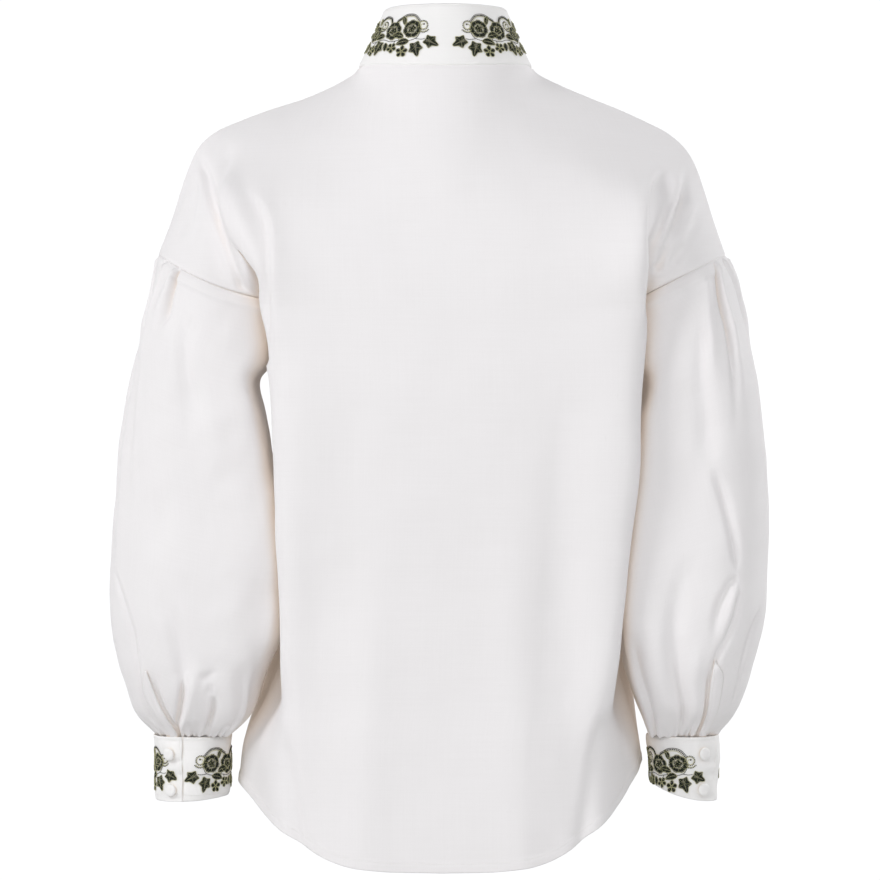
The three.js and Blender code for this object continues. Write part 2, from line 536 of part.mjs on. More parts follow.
function buildArm(name) {
  const arm = ARMS[name];
  const turns = sleeveTurns(arm);
  if (arm.side > 0) turns.reverse();
  const across = armhole(arm.side, 180).sub(armhole(arm.side, 0));
  const drop = across.cross(vector(0, arm.side, 0)).setLength(ARMHOLE_GAP);
  const plain = SLEEVE_ROWS.map((v) => turns.map((turn) =>
    (v === 0 ? armholeSeam(arm.side, turn).add(drop) : sleevePoint(arm.side, turn, v))));
  const lift = (i, j) => {
    const v = SLEEVE_ROWS[i];
    const clear = ease(12, 30, Math.abs(turns[j] - arm.slit + SLEEVE_PLACKET.width));
    const gather = GATHERS.depth * ease(GATHERS.from, GATHERS.full, v) * (v < 1 ? 1 : 0) * clear;
    return pleatLift(turns[j], v) + gather * (j % 2 === 0 ? 1 : -1);
  };
  const grid = moved(plain, normalsOf(plain, true), lift);
  const normals = normalsOf(grid, true);
  add(`sleeve_${name}`, wall(grid, normals, true), linen);

  // The placket lies on the sleeve beside its slit, down to the cuff.
  const onSleeve = (source, i, turn) => {
    const j = turns.findIndex((other, k) => (other - turn) * (turns[(k + 1) % turns.length] - turn) <= 0);
    const t = (turn - turns[j]) / (turns[j + 1] - turns[j]);
    return source[i][j].clone().lerp(source[i][j + 1], t);
  };
  const stripRows = range(SLEEVE_ROWS.length).filter((i) => SLEEVE_ROWS[i] > SLEEVE_PLACKET.from);
  const stripTurns = (i) => {
    const here = onSleeve(grid, i, arm.slit);
    const perTurn = here.distanceTo(onSleeve(grid, i, arm.slit - 9)) / 9;
    const order = [0, 0.5, 1].map((share) => arm.slit - (share * SLEEVE_PLACKET.width) / perTurn);
    return arm.side > 0 ? order : order.reverse();
  };
  const stripBase = stripRows.map((i) => stripTurns(i).map((turn) => onSleeve(grid, i, turn)));
  const stripNormals = stripRows.map((i) =>
    stripTurns(i).map((turn) => onSleeve(normals, i, turn).normalize()));
  const strip = moved(stripBase, stripNormals, () => LAYER + SLEEVE_PLACKET.lift - SEAM_GAP);
  drawBack(strip.at(-1), strip.at(-2));
  add(`sleeve_placket_${name}`, wall(strip, stripNormals), linen);

  // The cuff runs once round the wrist and laps over itself.
  const aroundSteps = 360 / CUFF.step;
  const places = range(aroundSteps + CUFF.overlapSteps + 1);
  const end = SLEEVE.at(-1);
  const sideKey = name === "left" ? "L" : "R";
  const centreX = (end[`out${sideKey}`] + end[`in${sideKey}`]) / 2;
  const halfWidth = (end[`out${sideKey}`] - end[`in${sideKey}`]) / 2;
  const cuffRows = range(CUFF_ROWS + 1).map((row) => row / CUFF_ROWS);
  const cuffTurn = (k) => arm.flap + arm.flapFrom * k * CUFF.step;
  const lapEnd = CUFF.overlapSteps + CUFF.fadeSteps;
  const cuffLift = (k) => LAYER * 1.1 * (1 - ease(CUFF.overlapSteps, lapEnd, k));
  const cuffPlain = cuffRows.map((share) => places.map((k) => {
    const turn = radians(cuffTurn(k));
    const shrink = CUFF.taper * share;
    const x = arm.side * (centreX + (halfWidth - shrink + cuffLift(k)) * Math.cos(turn));
    const y = (end.depth - shrink + cuffLift(k)) * Math.sin(turn);
    const inward = ((1 - Math.cos(turn)) / 2) ** 2;
    return vector(x, y, end.outZ - SEAM_GAP - (CUFF.height - arm.innerLift * inward) * share);
  }));
  const clockwise = arm.side * arm.flapFrom < 0;
  const cuffGrid = clockwise ? cuffPlain : cuffPlain.map((row) => row.slice().reverse());
  const cuffNormals = normalsOf(cuffGrid);
  add(`cuff_${name}`, wall(cuffGrid, cuffNormals), embroideredLinen);

  CUFF_BUTTONS.forEach((share, index) => {
    const k = arm.button / CUFF.step;
    const at = clockwise ? k : places.length - 1 - k;
    addButton(`cuff_button_${name}_${index + 1}`, cuffGrid, cuffNormals, share * CUFF_ROWS, at);
  });
}

// ---- Covered buttons ----
// A point of a grid, or of its normals, between its rows and columns.
function between(grid, row, col) {
  const i = Math.min(Math.floor(row), grid.length - 2);
  const j = Math.min(Math.floor(col), grid[0].length - 2);
  const upper = grid[i][j].clone().lerp(grid[i][j + 1], col - j);
  const lower = grid[i + 1][j].clone().lerp(grid[i + 1][j + 1], col - j);
  return upper.lerp(lower, row - i);
}

function addButton(name, grid, normals, row, col) {
  const { radius, height } = BUTTON;
  const profile = [[0, 0], [0.86, 0], [1, 0.3], [0.93, 0.66], [0.6, 0.92], [0, 1]]
    .map(([out, up]) => new THREE.Vector2(out * radius, up * height));
  const geometry = new THREE.LatheGeometry(profile, BUTTON.segments);
  const normal = between(normals, row, col).normalize();
  geometry.applyQuaternion(new THREE.Quaternion().setFromUnitVectors(vector(0, 1, 0), normal));
  const place = between(grid, row, col).addScaledVector(normal, BUTTON.lift);
  geometry.translate(place.x, place.y, place.z);
  add(name, geometry, coveredButton);
}

buildArm("left");
buildArm("right");

range(FRONT_BUTTONS.count).forEach((i) => {
  const z = mix(FRONT_BUTTONS.firstZ, FRONT_BUTTONS.lastZ, i / (FRONT_BUTTONS.count - 1));
  const below = placketGrid.findIndex((row) => row[0].z < z);
  const rise = placketGrid[below - 1][0].z - placketGrid[below][0].z;
  const row = below - (z - placketGrid[below][0].z) / rise;
  addButton(`front_button_${i + 1}`, placketGrid, placketNormals, row, 0.5);
});
COLLAR_BUTTONS.forEach((share, index) => {
  addButton(`collar_button_${index + 1}`, collarGrid, collarNormals, share * COLLAR_ROWS, 0.5);
});

export default shirt;
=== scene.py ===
import math

import bpy
import numpy as np
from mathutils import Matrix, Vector


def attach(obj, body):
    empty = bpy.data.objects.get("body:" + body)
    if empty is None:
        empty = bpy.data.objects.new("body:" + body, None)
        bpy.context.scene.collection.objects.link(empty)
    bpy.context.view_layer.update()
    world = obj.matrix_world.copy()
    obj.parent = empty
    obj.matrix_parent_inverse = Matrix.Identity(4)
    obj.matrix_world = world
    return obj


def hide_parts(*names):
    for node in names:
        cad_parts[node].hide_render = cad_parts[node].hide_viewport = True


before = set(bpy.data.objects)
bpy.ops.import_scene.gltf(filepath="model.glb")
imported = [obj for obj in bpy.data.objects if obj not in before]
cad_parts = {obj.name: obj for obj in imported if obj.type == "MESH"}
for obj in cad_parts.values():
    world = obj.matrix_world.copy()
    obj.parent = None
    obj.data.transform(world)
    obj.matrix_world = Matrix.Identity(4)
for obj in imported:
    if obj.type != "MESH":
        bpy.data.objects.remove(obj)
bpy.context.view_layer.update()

MM = 0.001


def table(names, *rows):
    """Rows of numbers under the names of their columns, as a list for each column."""
    return {name: [row[i] for row in rows] for i, name in enumerate(names.split())}


def listed(names, *rows):
    """Rows under the names of their columns, as a list of rows."""
    return [dict(zip(names.split(), row)) for row in rows]


# ---- Sizes of the shirt, as it is cut and sewn ----
NECK = dict(half_width=75.3, lean=1.5, back=62, front=60, side_rise=5, front_drop=45)
COLLAR = dict(height=54, top_half_width=54, top_back=51, top_front=52, top_front_drop=44)
FRONT_RUN = (0.42, 1.0)  # the share of the way forward over which the neck drops
LAYER = 1.8  # how far one layer of cloth lies above another
CLOTH = 0.6  # thickness of the linen
FOLDED = dict(placket=1.4, strip=1.3, band=1.8)  # how many thicknesses a folded piece shows at its edge

SHOULDER = table(
    "at left right z",
    (0.00, 76.8, 73.8, 5),
    (0.06, 83, 81, -2),
    (0.14, 100, 101, -12),
    (0.25, 125, 127, -23),
    (0.38, 156, 152, -33),
    (0.50, 185, 176, -44),
    (0.60, 206, 195, -54),
    (0.67, 218, 208, -65),
    (0.75, 226, 218, -80),
    (0.84, 234, 226, -102),
    (0.92, 242, 234, -129),
    (1.00, 254, 245, -162),
)
NECK_SHARE = 0.3  # the share of a panel's top edge that is neckline
YOKE = dict(roundness=2.2, fade=4, side_share=1.5, corner_share=6, swell=0.85)
ARMHOLE = dict(half_depth=72, inner_z=-204, sag_left=7, sag_right=0)
# how much squarer the rings are at the corner between an arm's back and the body
INNER_SQUARE = dict(armhole=1.8, sleeve=6)

# Half-widths and depths of the body below the armholes, a row for each level.
LEVELS = table(
    "z back front edge fold tuck seam lobe lean",
    (-222, 111, 126, 163, 21, 157, 156, 155, -5),
    (-265, 112, 128, 159, 20, 150, 148, 151, -7),
    (-330, 111, 124, 157, 18, 142, 141, 147, -8),
    (-400, 108, 119, 153, 18, 137, 137, 145, -6),
    (-470, 106, 116, 148, 18, 132, 134, 145, -3),
    (-520, 106, 115, 145, 18, 137, 148, 159, -1),
    (-552, 106, 114, 142, 19, 146, 160, 167, 1),
    (-578, 107, 113, 141, 20, 155, 171, 170, 4.5),
    (-615, 107, 113, 141, 22, 161, 177, 170, 5),
    (-700, 106, 112, 144, 24, 165, 177, 164, 4),
)
MIDDLE = dict(share=0.53, back_dip=2, front_dip=5)
TUCK_Y, LOBE_Y = 36, -52
FRONT_EDGE = dict(share=0.94, fold=30)
KNOTS = (0, 0.35, 0.7, 0.86, 1)  # centre, middle, side fold, tuck or lobe, and seam
UNDERARM_CENTRE_Z = -215

HEM = table(
    "share back front",
    (0.00, -692, -672),
    (0.25, -690, -669),
    (0.40, -685, -660),
    (0.62, -663, -641),
    (0.80, -640, -625),
    (1.00, -613, -613),
)
HEM_TILT = -8  # the left side hangs lower than the right

# The largest folds of the body: from a share s to another, as the height v runs down.
FOLD_COLUMNS = "side from_s from_v to_s to_v width depth"
BODY_FOLDS = dict(
    back=listed(
        FOLD_COLUMNS,
        (1, 0.77, 0.10, 0.83, 1.10, 0.05, -7),
        (1, 0.66, 0.15, 0.72, 1.25, 0.07, 5),
        (-1, 0.76, 0.12, 0.84, 1.05, 0.05, -7),
        (-1, 0.64, 0.15, 0.71, 1.25, 0.07, 5),
    ),
    front=listed(
        FOLD_COLUMNS,
        (1, 0.76, 0.10, 0.85, 1.10, 0.05, -7),
        (-1, 0.78, 0.10, 0.84, 1.15, 0.05, -7),
    ),
)

# A sleeve's rings: how far out and in they lie on each arm, their heights there, depth and squareness.
SLEEVE = table(
    "at outL outR outZ inL inR inZ depth square",
    (0.05, 258, 253, -182, 152, 161, -244, 76, 2.1),
    (0.15, 266, 261, -217, 165, 172, -272, 79, 2.3),
    (0.28, 277, 271, -264, 159, 167, -305, 80, 2.4),
    (0.42, 287, 278, -323, 151, 161, -350, 80, 2.5),
    (0.56, 292, 282, -386, 144, 155, -400, 81, 2.5),
    (0.69, 296, 282, -440, 141, 149, -449, 82, 2.5),
    (0.79, 294, 277, -487, 143, 150, -492, 80, 2.4),
    (0.88, 286, 266, -529, 160, 158, -531, 71, 2.2),
    (0.95, 274, 254, -563, 172, 171, -564, 54, 2.0),
    (1.00, 256, 239, -582, 190, 177, -582, 37, 2.0),
)
# Turns round an arm are in degrees: 0 is the outside of the arm, 90 its back and 180 the side by the body.
# flap is the turn of a cuff's free edge, and button how far in from it the buttons are, in degrees.
# flap_spray and under_spray are how far from the cuff's two ends its sprays begin.
ARMS = dict(
    left=dict(side=1, flap=78, inner_lift=4, button=18, flap_spray=8, under_spray=3),
    right=dict(side=-1, flap=34, inner_lift=15, button=29, flap_spray=19, under_spray=22),
)
# The slit above each cuff: its turn as it runs down.
SLITS = dict(
    left=table("at turn", (0.85, 57), (0.92, 62), (0.97, 68), (1.0, 70)),
    right=table("at turn", (0.82, 73), (0.88, 73), (0.94, 73), (1.0, 69)),
)
CUFF = dict(height=57, taper=2.5, overlap=30, fade=60)
STRIP = dict(left_start=0.865, right_start=0.845, width=13, point=22)
PLACKET = dict(half_width=16, join_x=-9)
BUTTON = dict(radius=5.6, height=3.6, lift=0.6)
CUFF_BUTTONS = (0.26, 0.82)  # shares down the cuff
FRONT_BUTTONS = dict(count=7, first_z=-92, last_z=-560)
COLLAR_BUTTONS = (0.28, 0.72)  # shares down the collar


def mix(a, b, t):
    return a + (b - a) * t


def ease(low, high, x):
    t = np.clip((x - low) / (high - low), 0, 1)
    return t * t * (3 - 2 * t)


def bell(x):
    return np.exp(-x * x)


def point(x, y, z):
    return np.stack(np.broadcast_arrays(x, y, z), -1).astype(float)


def unit(v):
    return v / np.maximum(np.linalg.norm(v, axis=-1, keepdims=True), 1e-9)


def run_of(line):
    """How far along a line of points each of them lies."""
    return np.concatenate([[0], np.cumsum(np.linalg.norm(np.diff(line, axis=0), axis=-1))])


def read_line(at, knots, line):
    """Points of a line, read at places between its knots."""
    return np.stack([np.interp(at, knots, line[:, i]) for i in range(line.shape[1])], -1)


def turned_past(turn, start):
    """How far a turn lies past a start, from -180 to 180 degrees."""
    return (turn - start + 540) % 360 - 180


def smooth(knots, values, at, start_slope=None, end_slope=None):
    """A smooth curve through a value at each knot, read at many places. Its end slopes can be given."""
    knots, at = np.asarray(knots, float), np.asarray(at, float)
    if knots[-1] < knots[0]:
        return smooth(-knots, values, -at)
    values = np.stack([np.broadcast_to(v, at.shape).astype(float) for v in values])
    runs = np.diff(knots)
    chords = np.diff(values, axis=0) / runs.reshape((-1,) + (1,) * at.ndim)
    slopes = np.empty_like(values)
    slopes[0] = chords[0] if start_slope is None else start_slope
    slopes[-1] = chords[-1] if end_slope is None else end_slope
    for i in range(1, len(knots) - 1):
        slopes[i] = (chords[i - 1] * runs[i] + chords[i] * runs[i - 1]) / (runs[i - 1] + runs[i])
    i = np.clip(np.searchsorted(knots, at, side="right") - 1, 0, len(runs) - 1)
    t = np.clip((at - knots[i]) / runs[i], 0, 1)

    def pick(a, step):
        return np.take_along_axis(a, (i + step)[None], 0)[0]

    return (
        (2 * t**3 - 3 * t**2 + 1) * pick(values, 0)
        + (t**3 - 2 * t**2 + t) * runs[i] * pick(slopes, 0)
        + (3 * t**2 - 2 * t**3) * pick(values, 1)
        + (t**3 - t**2) * runs[i] * pick(slopes, 1)
    )


def column(rows, driver, name, at):
    """One column of a table, read where its driver column stands at a value."""
    return smooth(rows[driver], rows[name], at)


# ---- Neck and collar ----
# The angle round the neck is 0 at the back, 90 at the wearer's left, 180 in front and 270 at the right.
def neck_ring(angle, half_width, back, front, z):
    across, along = np.sin(np.radians(angle)), np.cos(np.radians(angle))
    return point(NECK["lean"] + half_width * across, np.where(along > 0, back, front) * along, z)


def front_run(angle):
    return ease(*FRONT_RUN, (1 - np.cos(np.radians(angle))) / 2)


def neckline(angle):
    z = NECK["side_rise"] * np.sin(np.radians(angle)) ** 2 - NECK["front_drop"] * front_run(angle)
    return neck_ring(angle, NECK["half_width"], NECK["back"], NECK["front"], z)


def collar_top(angle):
    z = COLLAR["height"] - COLLAR["top_front_drop"] * front_run(angle)
    return neck_ring(angle, COLLAR["top_half_width"], COLLAR["top_back"], COLLAR["top_front"], z)


def neck_angle_at(x):
    return 180 - math.degrees(math.asin((x - NECK["lean"]) / NECK["half_width"]))


# ---- Body ----
# s runs from -1, the wearer's right seam, over 0, the centre, to 1, the left. v runs from 0, the neckline
# and shoulder seam, over 1, the level of the underarm, to 2, the hem.
def shoulder_point(side, at):
    x = np.where(side < 0, column(SHOULDER, "at", "right", at), column(SHOULDER, "at", "left", at))
    return point(side * x, 0, column(SHOULDER, "at", "z", at))


def top_edge(face, s):
    share = np.abs(s)
    angle = 90 * np.clip(s / NECK_SHARE, -1, 1)
    on_neck = neckline(angle if face == "back" else 180 - angle)
    side = np.where(s < 0, -1, 1)
    on_shoulder = shoulder_point(side, np.clip((share - NECK_SHARE) / (1 - NECK_SHARE), 0, 1))
    return np.where((share > NECK_SHARE)[..., None], on_shoulder, on_neck)


def rounded_top(face, s):
    """The top edge without its corner at the side of the neck."""
    share = np.abs(s)
    centre = top_edge(face, np.zeros_like(s))
    end = shoulder_point(np.where(s < 0, -1, 1), np.ones_like(s))
    return point(
        mix(centre[..., 0], end[..., 0], share),
        centre[..., 1] * (1 - share) ** 2,
        mix(centre[..., 2], end[..., 2], share ** YOKE["roundness"]),
    )


def level(face, s, z):
    """A point of the body below the underarm, at a height."""
    s, z = np.broadcast_arrays(np.asarray(s, float), np.asarray(z, float))
    row = {name: column(LEVELS, "z", name, z) for name in LEVELS if name != "z"}
    is_back = face == "back"
    edge = row["edge"] * (1 if is_back else FRONT_EDGE["share"])
    xs = [0, MIDDLE["share"] * edge, edge, row["tuck" if is_back else "lobe"], row["seam"]]
    reach = row[face]
    dip = MIDDLE["back_dip"] if is_back else MIDDLE["front_dip"]
    fold = row["fold"] if is_back else FRONT_EDGE["fold"]
    ys = [reach, reach - dip, reach - fold, TUCK_Y if is_back else -LOBE_Y, 0]
    x = smooth(KNOTS, xs, np.abs(s), end_slope=0)
    y = smooth(KNOTS, ys, np.abs(s), start_slope=0)
    return point(row["lean"] + np.sign(s) * x, y if is_back else -y, z)


def underarm_z(s):
    return mix(UNDERARM_CENTRE_Z, ARMHOLE["inner_z"], s * s)


def hem_z(face, s):
    return column(HEM, "share", face, np.abs(s)) + HEM_TILT * s**3


def on_ring(turn, square, inner_square):
    """How far out and how far back a turn lies on an arm's ring, each from -1 to 1."""
    across, along = np.cos(np.radians(turn)), np.sin(np.radians(turn))
    power = square + 2 * inner_square * np.maximum(0, -across) * np.maximum(0, along)
    radius = (np.abs(across) ** power + np.abs(along) ** power) ** (-1 / power)
    return radius * across, radius * along


def armhole_sag(side, share):
    """How far the armhole's seam hangs, at a share of its way from the shoulder to the underarm."""
    return np.where(side < 0, ARMHOLE["sag_right"], ARMHOLE["sag_left"]) * np.sin(math.pi * share)


def armhole(side, turn, inner_square=INNER_SQUARE["armhole"]):
    """The armhole seam. The turn is 0 on the shoulder, 90 at the back, 180 under the arm and 270 in front."""
    side, turn = np.broadcast_arrays(np.asarray(side, float), np.asarray(turn, float))
    out = shoulder_point(side, np.ones_like(side))
    inner = level("back", side, np.full_like(side, ARMHOLE["inner_z"]))
    across, along = on_ring(turn, 2, inner_square)
    share = (1 - across) / 2
    ring = mix(out, inner, share[..., None])
    ring[..., 1] = ARMHOLE["half_depth"] * along
    ring[..., 2] -= armhole_sag(side, share)
    return ring


def yoke(face, s, v):
    """Above the underarm, the cloth is spanned between its four edges."""
    side = np.where(s < 0, -1.0, 1.0)
    share = np.abs(s)
    wide = (share ** YOKE["side_share"])[..., None]
    down = v[..., None]
    rounded = rounded_top(face, s)
    top_centre = top_edge(face, np.zeros_like(s))
    top_end = shoulder_point(side, np.ones_like(s))
    low_centre = level(face, np.zeros_like(s), underarm_z(0) + 0 * s)
    low_end = level(face, side, underarm_z(1) + 0 * s)
    centre = mix(top_centre, low_centre, down)
    swell = np.sin(math.pi / 2 * v) ** YOKE["swell"]
    centre[..., 1] = mix(top_centre[..., 1], low_centre[..., 1], swell)
    turn = 180 * v if face == "back" else 360 - 180 * v
    oval = armhole(side, turn, 0)
    corner = armhole(side, turn) - oval
    return (
        rounded * (1 - down)
        + (top_edge(face, s) - rounded) * (1 - down) ** YOKE["fade"]
        + level(face, s, underarm_z(s)) * down
        + (centre - mix(top_centre, low_centre, down)) * (1 - wide)
        + (oval - mix(top_end, low_end, down)) * wide
        + corner * (share ** YOKE["corner_share"])[..., None]
    )


def body(face, s, v):
    s, v = np.broadcast_arrays(np.asarray(s, float), np.asarray(v, float))
    above = yoke(face, s, np.clip(v, 0, 1))
    z = mix(underarm_z(s), hem_z(face, s), np.clip(v - 1, 0, 1))
    return np.where((v <= 1)[..., None], above, level(face, s, z))


def body_fold(face, s, v):
    lift = np.zeros_like(s)
    for fold in BODY_FOLDS[face]:
        along = (v - fold["from_v"]) / (fold["to_v"] - fold["from_v"])
        fade = ease(0, 0.3, along) * (1 - ease(0.7, 1, along)) * (np.sign(s) == fold["side"])
        off = np.abs(s) - mix(fold["from_s"], fold["to_s"], along)
        lift += fold["depth"] * fade * bell(off / fold["width"])
    return lift


# ---- Sleeves ----
def sleeve_point(side, turn, v):
    name = "R" if side < 0 else "L"
    seam_out, seam_in = armhole(side, 0), armhole(side, 180)
    first = {
        "at": 0, "outZ": seam_out[2], "inZ": seam_in[2], "depth": ARMHOLE["half_depth"], "square": 2,
        "out" + name: side * seam_out[0], "in" + name: side * seam_in[0],
    }
    value = {key: smooth([0, *SLEEVE["at"]], [first[key], *SLEEVE[key]], v) for key in first if key != "at"}
    inner_square = mix(INNER_SQUARE["armhole"], INNER_SQUARE["sleeve"], ease(0, 0.2, v))
    across, along = on_ring(turn, value["square"], inner_square)
    share = (1 - across) / 2
    return point(
        side * mix(value["out" + name], value["in" + name], share),
        value["depth"] * along,
        mix(value["outZ"], value["inZ"], share) - armhole_sag(side, share) * (1 - ease(0, 0.2, v)),
    )


# ---- Creases ----
# Each crease follows a path. It grows from one width to another, in millimetres, and start and end are
# the shares of the path over which it comes and goes. A trough sinks and a ridge rises. A step stands high
# on one side of the path and low on the other, and a pleat is a trough with a raised fold beside it. Where
# their depth is positive, the high side is the wearer's left on the body, and the outside on a sleeve.
CREASE_COLUMNS = "kind width widens depth start end path"
BODY_CREASES = dict(  # paths in x and z
    back=listed(
        CREASE_COLUMNS,
        ("trough", 4.5, 3.0, 5.6, 0.15, 0.05,
         [(219, -72), (208, -99), (192, -148), (173, -200), (162, -233), (155, -262)]),
        ("ridge", 9, 10, 11.0, 0.35, 0.30, [(192, -80), (186, -112), (178, -142), (170, -176), (162, -216)]),
        ("step", 12, 14, -10.0, 0.30, 0.20,
         [(172, -104), (158, -128), (152, -148), (150, -208), (150, -262)]),
        ("trough", 6, 6, 3.2, 0.40, 0.40, [(190, -58), (193, -86), (193, -112)]),
        ("trough", 4, 5, 3.0, 0.30, 0.40, [(219, -88), (223, -120), (229, -152)]),
        ("trough", 9, 9, 3.6, 0.40, 0.40, [(208, -122), (200, -160), (192, -196)]),
        ("step", 12, 13, 9.5, 0.30, 0.15,
         [(-194, -87), (-181, -95), (-174, -112), (-170, -143), (-169, -191), (-168, -238)]),
        ("ridge", 7, 7, 7.5, 0.30, 0.30, [(-197, -82), (-194, -114), (-185, -146), (-177, -168)]),
        ("trough", 3.5, 3.0, 5.4, 0.25, 0.10,
         [(-211, -80), (-205, -108), (-198, -128), (-189, -150), (-184, -170), (-176, -182)]),
        ("ridge", 6, 6, 4.2, 0.35, 0.30, [(-215, -106), (-208, -138), (-197, -166)]),
        ("trough", 4, 4, 4.4, 0.35, 0.20, [(-221, -116), (-213, -138), (-201, -160), (-190, -178)]),
        ("trough", 24, 26, 6.0, 0.40, 0.05, [(108, -340), (110, -460), (115, -563), (122, -740)]),
        ("trough", 21, 23, 6.0, 0.40, 0.05,
         [(-96, -290), (-99, -392), (-104, -495), (-111, -600), (-118, -740)]),
        ("ridge", 18, 20, 2.8, 0.40, 0.05, [(62, -420), (66, -540), (76, -740)]),
        ("ridge", 20, 20, 2.8, 0.40, 0.05, [(-52, -380), (-58, -500), (-68, -740)]),
        ("trough", 8, 9, 4.5, 0.30, 0.05, [(145, -560), (140, -602), (132, -640), (121, -700)]),
        ("trough", 7, 9, 4.5, 0.30, 0.05, [(-143, -548), (-134, -578), (-128, -610), (-112, -700)]),
    ),
    front=listed(
        CREASE_COLUMNS,
        ("trough", 4.5, 3.0, 5.2, 0.10, 0.10,
         [(222, -74), (210, -102), (190, -150), (170, -205), (158, -240)]),
        ("ridge", 9, 10, 9.0, 0.35, 0.30, [(192, -84), (182, -128), (172, -176), (164, -212)]),
        ("trough", 7, 7, 4.6, 0.40, 0.40, [(172, -62), (172, -104), (164, -146)]),
        ("trough", 4.0, 3.0, 5.2, 0.15, 0.10, [(-218, -78), (-206, -112), (-190, -150), (-174, -196)]),
        ("ridge", 8, 8, 8.0, 0.35, 0.30, [(-192, -86), (-186, -126), (-176, -168)]),
        ("step", 12, 13, 8.5, 0.30, 0.20, [(-176, -96), (-166, -130), (-160, -190), (-158, -240)]),
        ("trough", 18, 20, 8.0, 0.40, 0.05, [(92, -300), (98, -420), (104, -530), (112, -740)]),
        ("trough", 17, 19, 7.5, 0.40, 0.05, [(-86, -330), (-92, -440), (-101, -560), (-108, -740)]),
        ("trough", 10, 12, 4.2, 0.40, 0.40, [(46, -250), (52, -350), (50, -450)]),
    ),
)
UNROLLED = np.array([1.08, 400])  # millimetres of sleeve to a degree of turn, and to its whole length
